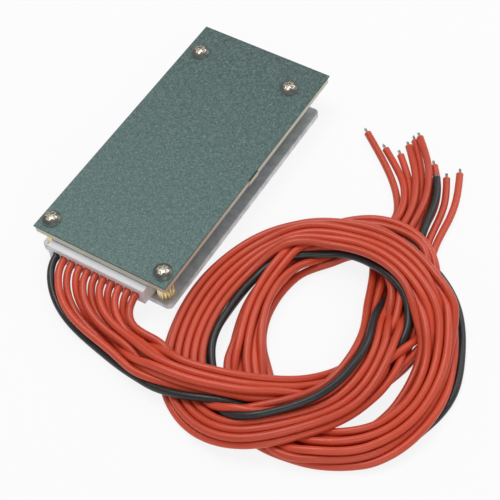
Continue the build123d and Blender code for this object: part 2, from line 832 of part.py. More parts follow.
# Coil: the outer shape of the loops lying together, flat where leads go in and tails come out
coil_outline = [
    (49.0, -24.0, 2.6), (49.0, -8.2, 2.6), (43.6, 8.0, 7.0), (46.2, 26.0, 7.0), (56.6, 40.0, 7.0),
    (73.4, 52.4, 2.6), (97.8, 52.4, 2.6), (109.6, 35.0, 9.0), (115.2, 14.0, 9.0),
    (112.6, -6.0, 7.5), (102.0, -19.6, 6.5), (88.0, -24.0, 6.5), (68.0, -27.0, 8.5),
]
coil_opening = [
    (64.4, 10.0, 7.0), (66.0, 29.0, 6.0), (76.0, 38.4, 4.6), (86.0, 34.0, 4.6),
    (87.4, 14.0, 8.5), (81.4, -4.6, 4.2), (72.0, -5.8, 4.2),
]
coil_gap = [
    (92.4, -8.8, 3.2), (99.4, 5.0, 6.6), (103.0, 21.6, 5.8), (104.6, 8.0, 6.0), (99.6, -6.0, 3.4),
]


def rounded_outline(corners):
    """A closed outline on the surface; each corner's arc starts the given reach before it."""
    places = [corner + Vector(x, y) for x, y, reach in corners]
    radii = []
    for before, (x, y, reach), here, after in zip(
        places[-1:] + places[:-1], corners, places, places[1:] + places[:1]
    ):
        radii.append(reach / tan(radians((here - before).get_angle(after - here) / 2)))
    return FilletPolyline(*places, radius=radii, close=True)


with BuildPart() as wire_coil:
    with BuildSketch():
        with BuildLine():
            rounded_outline(coil_outline)
        make_face()
        for hole in (coil_opening, coil_gap):
            with BuildLine():
                rounded_outline(hole)
            make_face(mode=Mode.SUBTRACT)
    extrude(amount=coil_height)
    fillet(wire_coil.faces().sort_by(Axis.Z)[-1].edges(), coil_edge_round)
save(wire_coil, "wire_coil")
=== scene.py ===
import logging
import math
from collections.abc import Mapping, Sequence
from dataclasses import dataclass, field, replace
from enum import Enum

import bmesh
import bpy
import numpy as np
from mathutils import Matrix, Vector


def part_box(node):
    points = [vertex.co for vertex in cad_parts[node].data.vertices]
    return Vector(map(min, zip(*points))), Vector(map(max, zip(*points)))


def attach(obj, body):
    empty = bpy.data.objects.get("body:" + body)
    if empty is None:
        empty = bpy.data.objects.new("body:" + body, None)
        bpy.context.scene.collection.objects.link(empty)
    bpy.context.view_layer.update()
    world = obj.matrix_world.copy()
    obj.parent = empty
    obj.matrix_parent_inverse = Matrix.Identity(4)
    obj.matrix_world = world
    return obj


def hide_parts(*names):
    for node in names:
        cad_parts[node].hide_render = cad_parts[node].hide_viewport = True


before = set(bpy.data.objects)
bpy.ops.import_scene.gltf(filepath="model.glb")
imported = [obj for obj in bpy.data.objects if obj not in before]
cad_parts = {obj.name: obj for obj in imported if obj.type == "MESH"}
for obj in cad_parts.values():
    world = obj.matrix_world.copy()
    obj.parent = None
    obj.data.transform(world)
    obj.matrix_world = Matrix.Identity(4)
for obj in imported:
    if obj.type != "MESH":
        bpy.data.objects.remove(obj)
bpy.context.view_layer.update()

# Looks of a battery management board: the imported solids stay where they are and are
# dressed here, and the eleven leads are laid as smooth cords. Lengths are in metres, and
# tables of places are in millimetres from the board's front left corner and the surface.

MM = 0.001
BODY = "root"

logging.basicConfig(level=logging.INFO, format="%(message)s")
REPORT = logging.getLogger("board")

Colour = tuple[float, float, float, float]
Place = tuple[float, float, float]


def paint(red: float, green: float, blue: float) -> Colour:
    """Returns an opaque colour from three linear shares."""
    return (red, green, blue, 1.0)


@dataclass(frozen=True)
class Field:
    """One socket of a material's nodes, for use in plain sums.

    Args:
        desk: the desk that makes the nodes.
        socket: the output that carries the value; a closing node has none.
    """

    desk: "NodeDesk"
    socket: bpy.types.NodeSocket | None

    def _maths(self, operation: str, *terms: "Value") -> "Field":
        """Returns one Math node's result for the given terms."""
        return self.desk.node("ShaderNodeMath", {"operation": operation}, dict(enumerate(terms)))

    def __add__(self, other: "Value") -> "Field":
        """Returns self + other."""
        return self._maths("ADD", self, other)

    def __radd__(self, other: "Value") -> "Field":
        """Returns other + self."""
        return self._maths("ADD", other, self)

    def __sub__(self, other: "Value") -> "Field":
        """Returns self - other."""
        return self._maths("SUBTRACT", self, other)

    def __rsub__(self, other: "Value") -> "Field":
        """Returns other - self."""
        return self._maths("SUBTRACT", other, self)

    def __mul__(self, other: "Value") -> "Field":
        """Returns self * other."""
        return self._maths("MULTIPLY", self, other)

    def __rmul__(self, other: "Value") -> "Field":
        """Returns other * self."""
        return self._maths("MULTIPLY", other, self)

    def __mod__(self, other: "Value") -> "Field":
        """Returns what is left of self after whole steps of other, from 0 up."""
        return self._maths("FLOORED_MODULO", self, other)

    def __abs__(self) -> "Field":
        """Returns the size of the value without its sign."""
        return self._maths("ABSOLUTE", self)

    def most(self, other: "Value") -> "Field":
        """Returns the larger of the two."""
        return self._maths("MAXIMUM", self, other)

    def above(self, level: float, blur: float) -> "Field":
        """Returns a mask that goes from 0 to 1 around a level.

        Args:
            level: where the mask is one half.
            blur: how far the mask takes to change.
        Returns:
            The mask, never outside 0 to 1.
        """
        ramp = {"interpolation_type": "SMOOTHSTEP", "clamp": True}
        low, high = level - blur / 2, level + blur / 2
        return self.desk.node("ShaderNodeMapRange", ramp, {0: self, 1: low, 2: high})


Value = Field | float | int | tuple | Vector


class NodeDesk:
    """Makes the nodes of one material, or of the world."""

    def __init__(self, owner: bpy.types.Material | bpy.types.World) -> None:
        """Clears the owner's nodes.

        Args:
            owner: the material or world to work on.
        """
        owner.use_nodes = True
        self.tree = owner.node_tree
        self.tree.nodes.clear()

    def node(
        self,
        kind: str,
        settings: Mapping[str, object] | None = None,
        sockets: Mapping[int | str, Value] | None = None,
        out: int | str = 0,
    ) -> Field:
        """Adds one node.

        Args:
            kind: the node's type.
            settings: its own settings, such as its operation, set before its sockets.
            sockets: a value or another field for each named input.
            out: the output that the field stands for.
        Returns:
            The chosen output.
        """
        made = self.tree.nodes.new(kind)
        for name, value in (settings or {}).items():
            setattr(made, name, value)
        for key, value in (sockets or {}).items():
            if isinstance(value, Field):
                self.tree.links.new(value.socket, made.inputs[key])
            else:
                made.inputs[key].default_value = value
        return Field(self, made.outputs[out] if made.outputs else None)

    def place(self) -> Field:
        """Returns the point on the part, in metres."""
        return self.node("ShaderNodeTexCoord", out="Object")

    def facing(self) -> Field:
        """Returns the way the surface faces."""
        return self.node("ShaderNodeNewGeometry", out="Normal")

    def axis(self, vector: Field, letter: str) -> Field:
        """Returns the X, Y or Z of a vector."""
        return self.node("ShaderNodeSeparateXYZ", sockets={0: vector}, out=letter)

    def turned(self, vector: Field, degrees: float, stretch: Place) -> Field:
        """Turns a place about Z and then scales it.

        Args:
            vector: the place.
            degrees: the turn.
            stretch: a scale for each axis; a small one draws a grain out along its axis.
        Returns:
            The changed place.
        """
        spin = self.node(
            "ShaderNodeVectorRotate",
            {"rotation_type": "Z_AXIS"},
            {"Vector": vector, "Angle": math.radians(degrees)},
        )
        return self.node("ShaderNodeVectorMath", {"operation": "MULTIPLY"}, {0: spin, 1: stretch})

    def noise(self, vector: Field, size: float, detail: float = 2, rough: float = 0.5) -> Field:
        """Returns soft noise around one half whose lumps are about size metres across."""
        sockets = {"Vector": vector, "Scale": 1 / size, "Detail": detail, "Roughness": rough}
        return self.node("ShaderNodeTexNoise", sockets=sockets)

    def cells(self, vector: Field, size: float) -> Field:
        """Returns the distance to the nearest of many points about size metres apart."""
        return self.node("ShaderNodeTexVoronoi", sockets={"Vector": vector, "Scale": 1 / size})

    def mix(self, share: Value, first: Value, second: Value) -> Field:
        """Returns the first colour where share is 0 and the second where it is 1."""
        kind = {"data_type": "RGBA"}
        return self.node("ShaderNodeMix", kind, {0: share, 6: first, 7: second}, out=2)

    def shaded(self, colour: Value, level: Value) -> Field:
        """Returns a colour made lighter or darker by a factor."""
        start = colour[:3] if isinstance(colour, tuple) else colour
        return self.node("ShaderNodeVectorMath", {"operation": "SCALE"}, {0: start, "Scale": level})

    def bump(self, height: Field, depth: float) -> Field:
        """Returns normals for a height from 0 to 1 that stands for depth metres."""
        return self.node("ShaderNodeBump", sockets={"Height": height, "Distance": depth})

    def surface(self, **sockets: Value) -> Field:
        """Adds the shader; underscores in a socket's name stand for spaces."""
        named = {name.replace("_", " "): value for name, value in sockets.items()}
        return self.node("ShaderNodeBsdfPrincipled", sockets=named)

    def close(self, surface: Field) -> None:
        """Joins the surface to the material's output."""
        self.node("ShaderNodeOutputMaterial", sockets={"Surface": surface})


@dataclass(frozen=True)
class Finish:
    """What every finish shares.

    Args:
        name: the material's name.
    """

    name: str

    def lay(self, desk: NodeDesk) -> Field:
        """Returns the finish's surface, which each finish makes in its own way."""
        raise NotImplementedError

    def material(self) -> bpy.types.Material:
        """Finds the finish's material, or makes it the first time it is asked for.

        Returns:
            The material.
        """
        known = bpy.data.materials.get(self.name)
        if known is None:
            known = bpy.data.materials.new(self.name)
            desk = NodeDesk(known)
            desk.close(self.lay(desk))
        return known


@dataclass(frozen=True)
class WireInsulation(Finish):
    """Soft satin rubber of the leads, with faint clouds and dust.

    Args:
        colour: its colour.
        cloud_depth: how far the shade wanders.
        roughness: its least roughness.
        cloud_size: the size of the clouds.
        dust_size: the size of the dust.
        dust_depth: how far the dust stands up.
        scuff: the colour of a scuff.
        scuff_cover: how much of that colour shows in a scuff.
    """

    colour: Colour
    cloud_depth: float = 0.16
    roughness: float = 0.30
    cloud_size: float = 6 * MM
    dust_size: float = 0.35 * MM
    dust_depth: float = 0.012 * MM
    scuff: Colour = paint(0.5, 0.42, 0.4)
    scuff_cover: float = 0.25

    def lay(self, desk: NodeDesk) -> Field:
        """Lays clouds, dust and scuffs over the insulation's colour.

        Args:
            desk: makes the nodes.
        Returns:
            The surface.
        """
        place = desk.place()
        cloud = desk.noise(place, self.cloud_size, detail=3)
        dust = desk.noise(place, self.dust_size, detail=3, rough=0.6)
        scuffed = dust.above(0.66, 0.12) * cloud.above(0.5, 0.3)
        shade = desk.shaded(self.colour, 1 - self.cloud_depth / 2 + self.cloud_depth * cloud)
        return desk.surface(
            Base_Color=desk.mix(self.scuff_cover * scuffed, shade, self.scuff),
            Roughness=self.roughness + 0.12 * dust + 0.1 * scuffed,
            Normal=desk.bump(dust, self.dust_depth),
        )


@dataclass(frozen=True)
class CutRubber(Finish):
    """The cut face of the insulation, paler and rougher than its outside.

    Args:
        colour: its colour.
        grain_size: the size of its grain.
        depth: how deep the grain stands.
    """

    colour: Colour
    grain_size: float = 0.15 * MM
    depth: float = 0.03 * MM

    def lay(self, desk: NodeDesk) -> Field:
        """Lays an even grain over the colour.

        Args:
            desk: makes the nodes.
        Returns:
            The surface.
        """
        grain = desk.noise(desk.place(), self.grain_size, detail=3)
        return desk.surface(
            Base_Color=desk.shaded(self.colour, 0.8 + 0.4 * grain),
            Roughness=0.6 + 0.2 * grain,
            Normal=desk.bump(grain, self.depth),
        )


@dataclass(frozen=True)
class FibreSheet(Finish):
    """Green sheet of pressed fibres, with pale and dark flecks that lie every way.

    Args:
        ground: the colour between the flecks.
        fleck: the colour of a pale fibre.
        shadow: the colour of a dark fibre.
        edge: the colour of the cut sides.
        fibre_width: how wide a fibre is.
        fibre_stretch: a small share draws the fibres out long.
        fibre_turns: the ways in which the pale fibres lie, in degrees.
        dark_turn: how far the dark fibres are turned from the pale ones.
        pale_level: how rare the pale fibres are, from 0 to 1.
        dark_level: how rare the dark fibres are.
        cloud_size: the size of the soft clouds between the fibres.
        speck_size: the size of the specks.
        painted_falloff: how fast painted shade darkens the sheet along the board, for each metre,
            standing in for light that falls off towards the far end.
        depth: how deep the grain stands.
    """

    ground: Colour = paint(0.084, 0.160, 0.150)
    fleck: Colour = paint(0.230, 0.325, 0.305)
    shadow: Colour = paint(0.030, 0.068, 0.064)
    edge: Colour = paint(0.040, 0.055, 0.050)
    fibre_width: float = 0.22 * MM
    fibre_stretch: float = 0.16
    fibre_turns: tuple[float, ...] = (12, 58, 103, 149)
    dark_turn: float = 23
    pale_level: float = 0.63
    dark_level: float = 0.66
    cloud_size: float = 1.3 * MM
    speck_size: float = 0.42 * MM
    painted_falloff: float = 5.2
    depth: float = 0.02 * MM

    def _fibres(self, desk: NodeDesk, place: Field, start: float, level: float) -> Field:
        """Draws short fibres at each of the finish's turns.

        Args:
            desk: makes the nodes.
            place: the point on the part.
            start: a turn that is added to each, in degrees.
            level: how rare the fibres are.
        Returns:
            A mask, 1 on the fibres.
        """
        mask = None
        for turn in self.fibre_turns:
            grain = desk.turned(place, turn + start, (self.fibre_stretch, 1, 1))
            strands = desk.noise(grain, self.fibre_width, detail=1).above(level, 0.12)
            mask = strands if mask is None else mask.most(strands)
        return mask

    def lay(self, desk: NodeDesk) -> Field:
        """Lays both kinds of fibres over a clouded and specked ground.

        Args:
            desk: makes the nodes.
        Returns:
            The surface.
        """
        place = desk.place()
        pale = self._fibres(desk, place, 0, self.pale_level)
        dark = self._fibres(desk, place, self.dark_turn, self.dark_level)
        cloud = desk.noise(place, self.cloud_size, detail=4, rough=0.6)
        speck = desk.noise(place, self.speck_size, detail=2, rough=0.7)
        # painted shade: the ground is darkened towards the far end of the board, where less light falls
        painted_falloff_shade = desk.axis(place, "Y") * self.painted_falloff
        ground = desk.shaded(self.ground, 0.10 + 0.36 * cloud + 0.94 * speck - painted_falloff_shade)
        flecked = desk.mix(0.6 * pale, ground, self.fleck)
        flecked = desk.mix(0.65 * dark, flecked, self.shadow)
        side = 1 - desk.axis(desk.facing(), "Z").above(0.5, 0.2)
        return desk.surface(
            Base_Color=desk.mix(side, flecked, self.edge),
            Roughness=0.50 + 0.16 * cloud,
            Normal=desk.bump(cloud + 0.6 * pale, self.depth),
        )


@dataclass(frozen=True)
class BoardLaminate(Finish):
    """Glass-fibre board: bare layered edges, and a green coat with tracks underneath.

    Args:
        coat: the colour of the coat.
        track: the colour of the coat over copper.
        layers: two colours of the bare edge.
        layer_size: the size of the edge's grain.
        layer_stretch: draws that grain out into layers.
        track_pitch: from one track to the next.
        track_width: how wide a track is.
        track_sway: how far the tracks wind.
        track_blur: how soft a track's edge is.
        pour_size: the size of the wide copper areas.
        pour_level: how rare those areas are, from 0 to 1.
        depth: how far a track stands up.
    """

    coat: Colour = paint(0.012, 0.075, 0.030)
    track: Colour = paint(0.022, 0.125, 0.048)
    layers: tuple[Colour, Colour] = (paint(0.50, 0.52, 0.40), paint(0.72, 0.74, 0.62))
    layer_size: float = 0.35 * MM
    layer_stretch: Place = (0.2, 0.2, 4)
    track_pitch: float = 1.9 * MM
    track_width: float = 0.55 * MM
    track_sway: float = 1.2 * MM
    track_blur: float = 0.06 * MM
    pour_size: float = 9 * MM
    pour_level: float = 0.52
    depth: float = 0.035 * MM

    def lay(self, desk: NodeDesk) -> Field:
        """Lays tracks under the coat, and layers on the edges.

        Args:
            desk: makes the nodes.
        Returns:
            The surface.
        """
        place = desk.place()
        sink = desk.noise(place, self.pour_size, detail=0)
        pour = sink.above(self.pour_level, 0.02)
        across = desk.axis(place, "X") + self.track_sway * sink
        lane = abs((across % self.track_pitch) - self.track_pitch / 2)
        track = (1 - lane.above(self.track_width / 2, self.track_blur)).most(pour)
        coat = desk.mix(track, self.coat, self.track)
        grain = desk.noise(desk.turned(place, 0, self.layer_stretch), self.layer_size, detail=3)
        edge = desk.mix(grain, self.layers[0], self.layers[1])
        side = 1 - abs(desk.axis(desk.facing(), "Z")).above(0.5, 0.2)
        return desk.surface(
            Base_Color=desk.mix(side, coat, edge),
            Roughness=0.28 + 0.34 * side + 0.1 * grain,
            Normal=desk.bump(track + 0.4 * grain * side, self.depth),
        )


@dataclass(frozen=True)
class Metal(Finish):
    """Plain metal with a grain, dull patches and small marks.

    Args:
        colour: its colour where it is clean.
        dull: its colour where it is dull.
        roughness: its mean roughness.
        grain: a scale for each axis; a small one draws the grain out along its axis.
        grain_size: the size of the grain.
        dull_share: how much of it is dull, from 0 to 1.
        depth: how deep the grain stands.
        metallic: 1 for bare metal, less under a skin of oxide.
        patch_size: the size of the dull patches.
    """

    colour: Colour
    dull: Colour
    roughness: float = 0.28
    grain: Place = (1, 1, 1)
    grain_size: float = 0.4 * MM
    dull_share: float = 0.5
    depth: float = 0.01 * MM
    metallic: float = 1.0
    patch_size: float = 3 * MM

    def lay(self, desk: NodeDesk) -> Field:
        """Lays grain and dull patches over the metal.

        Args:
            desk: makes the nodes.
        Returns:
            The surface.
        """
        place = desk.place()
        grain = desk.noise(desk.turned(place, 0, self.grain), self.grain_size, detail=3)
        patch = desk.noise(place, self.patch_size, detail=4, rough=0.62)
        dull = patch.above(1 - self.dull_share, 0.35)
        return desk.surface(
            Base_Color=desk.mix(dull, self.colour, self.dull),
            Metallic=self.metallic,
            Roughness=self.roughness - 0.08 + 0.16 * grain + 0.14 * dull,
            Normal=desk.bump(grain, self.depth),
        )


@dataclass(frozen=True)
class PlatedHead(Metal):
    """Plated screws whose crowns carry a painted dark reflection, with a bright rim and cross recess.

    Args:
        middles: the plan places of the heads.
        arm_reach: from a head's middle to the end of the cross around its recess, where the painted dark
            reflection is left off and the metal stays bright.
        arm_half_width: half the width of that cross.
        rim: how high the bright rims reach; above it lies the painted dark reflection.
        recess: a height between the crowns and the floors of their recesses.
        painted_dark_reflection: the colour of the crowns, a painted dark reflection.
        blur: how far the painted dark reflection takes to fade out.
    """

    middles: tuple[tuple[float, float], ...] = ()
    arm_reach: float = 1.55 * MM
    arm_half_width: float = 0.66 * MM
    rim: float = 11.60 * MM
    recess: float = 12.0 * MM
    painted_dark_reflection: Colour = paint(0.09, 0.085, 0.078)
    blur: float = 0.15 * MM

    def _cross(self, desk: NodeDesk, place: Field, middle: tuple[float, float]) -> Field:
        """Draws the cross around one head's recess, where the painted dark reflection is left off.

        Args:
            desk: makes the nodes.
            place: the point on the part.
            middle: the plan place of the head.
        Returns:
            A mask, 1 on the cross.
        """
        across = abs(desk.axis(place, "X") - middle[0])
        along = abs(desk.axis(place, "Y") - middle[1])
        wide, narrow, blur = self.arm_reach, self.arm_half_width, self.blur
        lying = (1 - across.above(wide, blur)) * (1 - along.above(narrow, blur))
        standing = (1 - along.above(wide, blur)) * (1 - across.above(narrow, blur))
        return lying.most(standing)

    def lay(self, desk: NodeDesk) -> Field:
        """Paints a dark reflection over the crowns and leaves the rims and recesses bright.

        Args:
            desk: makes the nodes.
        Returns:
            The surface.
        """
        place = desk.place()
        grain = desk.noise(place, self.grain_size, detail=3)
        height = desk.axis(place, "Z")
        upward = desk.axis(desk.facing(), "Z")
        # painted reflection: the crowns' upward faces are darkened to stand in for the dark reflection
        # they show, apart from the recess floors and the cross around each recess
        floor = upward.above(0.95, 0.02) * (1 - height.above(self.recess, self.blur))
        dark_reflection_share = height.above(self.rim, self.blur) * upward.above(0.35, 0.2) * (1 - floor)
        for middle in self.middles:
            dark_reflection_share = dark_reflection_share * (1 - self._cross(desk, place, middle))
        shade = desk.mix(grain, self.colour, self.dull)
        return desk.surface(
            Base_Color=desk.mix((0.75 + 0.25 * grain) * dark_reflection_share, shade, self.painted_dark_reflection),
            Metallic=self.metallic,
            Roughness=self.roughness + 0.1 * grain + 0.12 * dark_reflection_share,
            Normal=desk.bump(grain, self.depth),
        )


@dataclass(frozen=True)
class Moulding(Finish):
    """Moulded plastic with a fine skin and slightly uneven shade.

    Args:
        colour: its colour.
        roughness: its least roughness.
        skin_size: the size of the skin's grain.
        skin_depth: how deep the grain stands.
        clouds: how far the shade wanders.
        cloud_size: the size of those clouds.
    """

    colour: Colour
    roughness: float = 0.45
    skin_size: float = 0.3 * MM
    skin_depth: float = 0.008 * MM
    clouds: float = 0.10
    cloud_size: float = 5 * MM

    def lay(self, desk: NodeDesk) -> Field:
        """Lays a fine skin and soft clouds over the plastic.

        Args:
            desk: makes the nodes.
        Returns:
            The surface.
        """
        place = desk.place()
        skin = desk.noise(place, self.skin_size, detail=2)
        cloud = desk.noise(place, self.cloud_size, detail=2)
        return desk.surface(
            Base_Color=desk.shaded(self.colour, 1 - self.clouds / 2 + self.clouds * cloud),
            Roughness=self.roughness + 0.1 * skin,
            Normal=desk.bump(skin, self.skin_depth),
        )


@dataclass(frozen=True)
class SoftPad(Finish):
    """Soft silicone pad filled with pale powder.

    Args:
        colour: the colour of the rubber.
        powder: the colour of the powder.
        speck_size: how far apart the specks of powder are.
        weave_size: the size of the pad's grain.
        depth: how deep the grain stands.
    """

    colour: Colour = paint(0.16, 0.21, 0.30)
    powder: Colour = paint(0.42, 0.46, 0.52)
    speck_size: float = 0.5 * MM
    weave_size: float = 0.8 * MM
    depth: float = 0.05 * MM

    def lay(self, desk: NodeDesk) -> Field:
        """Strews powder over the rubber.

        Args:
            desk: makes the nodes.
        Returns:
            The surface.
        """
        place = desk.place()
        specks = 1 - desk.cells(place, self.speck_size).above(0.25, 0.1)
        weave = desk.noise(place, self.weave_size, detail=3)
        return desk.surface(
            Base_Color=desk.mix(0.5 * specks, self.colour, self.powder),
            Roughness=0.7 + 0.15 * weave,
            Normal=desk.bump(weave, self.depth),
        )


def dress(finish: Finish, *nodes: str) -> None:
    """Gives CAD nodes a finish.

    Args:
        finish: the finish.
        nodes: the nodes' names.
    """
    for name in nodes:
        for material_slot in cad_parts[name].material_slots:
            material_slot.material = finish.material()
    REPORT.info("%s dresses %s", finish.name, ", ".join(nodes))


def settle(piece: bpy.types.Object, slot: str, *nodes: str) -> bpy.types.Object:
    """Makes a new piece part of the model.

    Args:
        piece: the new piece, in place.
        slot: a material slot; not used.
        nodes: CAD nodes that it stands for.
    Returns:
        The piece.
    """
    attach(piece, BODY)
    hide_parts(*nodes)
    REPORT.info("%s is in place", piece.name)
    return piece


def join_rings(
    mesh: bmesh.types.BMesh,
    place: Matrix,
    rings: Sequence[tuple[Vector, float]],
    sides: int,
    material: int = 0,
) -> list[list[bmesh.types.BMVert]]:
    """Adds round rings to a mesh, with a wall from each to the next.

    Args:
        mesh: the mesh to add to.
        place: the frame of the rings, which lie across its Z.
        rings: the middle and the radius of each.
        sides: how many corners a ring has.
        material: the index of the walls' material.
    Returns:
        The corners of each ring.
    """
    rows = []
    for middle, radius in rings:
        row = []
        for side in range(sides):
            around = math.tau * side / sides
            corner = middle + Vector((radius * math.cos(around), radius * math.sin(around), 0))
            row.append(mesh.verts.new(place @ corner))
        rows.append(row)
    for low, high in zip(rows, rows[1:]):
        for side in range(sides):
            after = (side + 1) % sides
            wall = mesh.faces.new((low[side], low[after], high[after], high[side]))
            wall.material_index = material
    return rows


class WireColour(Enum):
    """The colours of the leads, each with its slot, its outside and its cut face."""

    RED = ("red_wire", paint(0.60, 0.066, 0.026), CutRubber("cut_red_rubber", paint(0.62, 0.20, 0.10)))
    BLACK = (
        "black_wire", paint(0.018, 0.019, 0.021), CutRubber("cut_black_rubber", paint(0.05, 0.05, 0.052))
    )

    def __init__(self, slot: str, outside: Colour, cut: CutRubber) -> None:
        """Names what belongs to one colour.

        Args:
            slot: the material slot.
            outside: the colour of the insulation.
            cut: the finish of its cut face.
        """
        self.slot, self.outside, self.cut = slot, outside, cut


@dataclass(frozen=True)
class Station:
    """One cross-section of the bundle of red wires.

    Args:
        x: its middle across the board, in millimetres.
        y: its middle along the board, in millimetres.
        width: from the outermost wire's centre to the innermost one's.
        floor: height of the lowest row of wires.
        rows: how many rows lie on each other.
    """

    x: float
    y: float
    width: float
    floor: float
    rows: int


@dataclass(frozen=True)
class SoftBundle:
    """Limp wires that push each other apart and lie down. All its lengths are in millimetres.

    Args:
        gap: the least distance between two wires' centre lines.
        lowest: the least height of a centre line.
        rounds: how many times every sample moves a little.
        push_share: how much of the push that would part two wires is given at once.
        pull_back: the share of the way back to where it was laid that a sample goes each round.
        weight: how far a sample sinks each round.
        sinking_share: the share of the rounds in which samples sink.
        bend_stiffness: how strongly a wire straightens itself.
        search_every: after how many rounds close pairs are sought again.
        search_reach: how far apart a close pair may be, in gaps.
        own_reach: how many samples along its own wire a sample doesn't push.
        block: how many samples are searched at once.
    """

    gap: float = 2.03
    lowest: float = 1.02
    rounds: int = 200
    push_share: float = 1.6
    pull_back: float = 0.012
    weight: float = 0.008
    sinking_share: float = 0.8
    bend_stiffness: float = 0.35
    search_every: int = 10
    search_reach: float = 1.5
    own_reach: int = 8
    block: int = 500

    def settled(self, lines: Sequence[np.ndarray], held: Sequence[np.ndarray]) -> list[np.ndarray]:
        """Moves the wires until they rest.

        Args:
            lines: the samples of each wire.
            held: True for each sample of each wire that stays where it is.
        Returns:
            The samples of each wire where they come to rest.
        """
        counts = np.array([len(line) for line in lines])
        ends = np.cumsum(counts)
        spans = [slice(end - count, end) for end, count in zip(ends, counts)]
        start, fixed = np.vstack(lines), np.concatenate(held)
        wire = np.repeat(np.arange(len(counts)), counts)
        order = np.concatenate([np.arange(count) for count in counts])
        segments = np.setdiff1d(np.arange(len(start)), ends - 1)
        stiffness = [self._bending(count) for count in counts]
        now = start.copy()
        for turn in range(self.rounds):
            if turn % self.search_every == 0:
                near = self._near_pairs(now, segments, wire, order)
            now += self.push_share * self._pushes(now, *near)
            now += self.pull_back * (start - now)
            if turn < self.sinking_share * self.rounds:
                now[:, 2] -= self.weight
            for span, operator in zip(spans, stiffness):
                now[span] = operator @ now[span]
            now[fixed] = start[fixed]
            now[:, 2] = np.maximum(now[:, 2], self.lowest)
        return [now[span] for span in spans]

    def _bending(self, count: int) -> np.ndarray:
        """Works out how a wire straightens itself a little.

        Args:
            count: how many samples the wire has.
        Returns:
            The matrix that turns its samples into straighter ones.
        """
        curl = np.zeros((count - 2, count))
        row = np.arange(count - 2)
        curl[row, row], curl[row, row + 1], curl[row, row + 2] = 1, -2, 1
        return np.linalg.inv(np.eye(count) + self.bend_stiffness * (curl.T @ curl))

    def _near_pairs(
        self, now: np.ndarray, segments: np.ndarray, wire: np.ndarray, order: np.ndarray
    ) -> tuple[np.ndarray, np.ndarray]:
        """Finds the stretches that lie close to each sample.

        Args:
            now: the samples of all wires.
            segments: the samples that have one after them on their wire.
            wire: the number of each sample's wire.
            order: each sample's place along its wire.
        Returns:
            The samples, and for each the first sample of a stretch close to it.
        """
        middles = 0.5 * (now[segments] + now[segments + 1])
        found_points, found_segments = [], []
        for first in range(0, len(now), self.block):
            block = now[first : first + self.block]
            apart = ((block[:, None] - middles[None]) ** 2).sum(2)
            point, segment = np.nonzero(apart < (self.search_reach * self.gap) ** 2)
            point, segment = point + first, segments[segment]
            other = wire[point] != wire[segment]
            other |= np.abs(order[point] - order[segment]) > self.own_reach
            found_points.append(point[other])
            found_segments.append(segment[other])
        return np.concatenate(found_points), np.concatenate(found_segments)

    def _pushes(self, now: np.ndarray, points: np.ndarray, segments: np.ndarray) -> np.ndarray:
        """Works out how far each sample is pushed by wires that lie too close to it.

        Args:
            now: the samples of all wires.
            points: the samples that may be too close to a stretch.
            segments: for each of them, the first sample of that stretch.
        Returns:
            One push for each sample.
        """
        along = now[segments + 1] - now[segments]
        share = ((now[points] - now[segments]) * along).sum(1) / (along * along).sum(1)
        share = np.clip(share, 0, 1)
        away = now[points] - (now[segments] + along * share[:, None])
        distance = np.linalg.norm(away, axis=1) + 1e-9
        close = distance < self.gap
        points, segments, share = points[close], segments[close], share[close]
        push = away[close] * ((self.gap - distance[close]) / distance[close] / 2)[:, None]
        total, weight = np.zeros_like(now), np.zeros(len(now))
        for samples, part in ((points, 1), (segments, 1 - share), (segments + 1, share)):
            np.add.at(weight, samples, part)
        np.add.at(total, points, push)
        np.add.at(total, segments, -push * (1 - share)[:, None])
        np.add.at(total, segments + 1, -push * share[:, None])
        return total / np.maximum(weight, 1)[:, None]


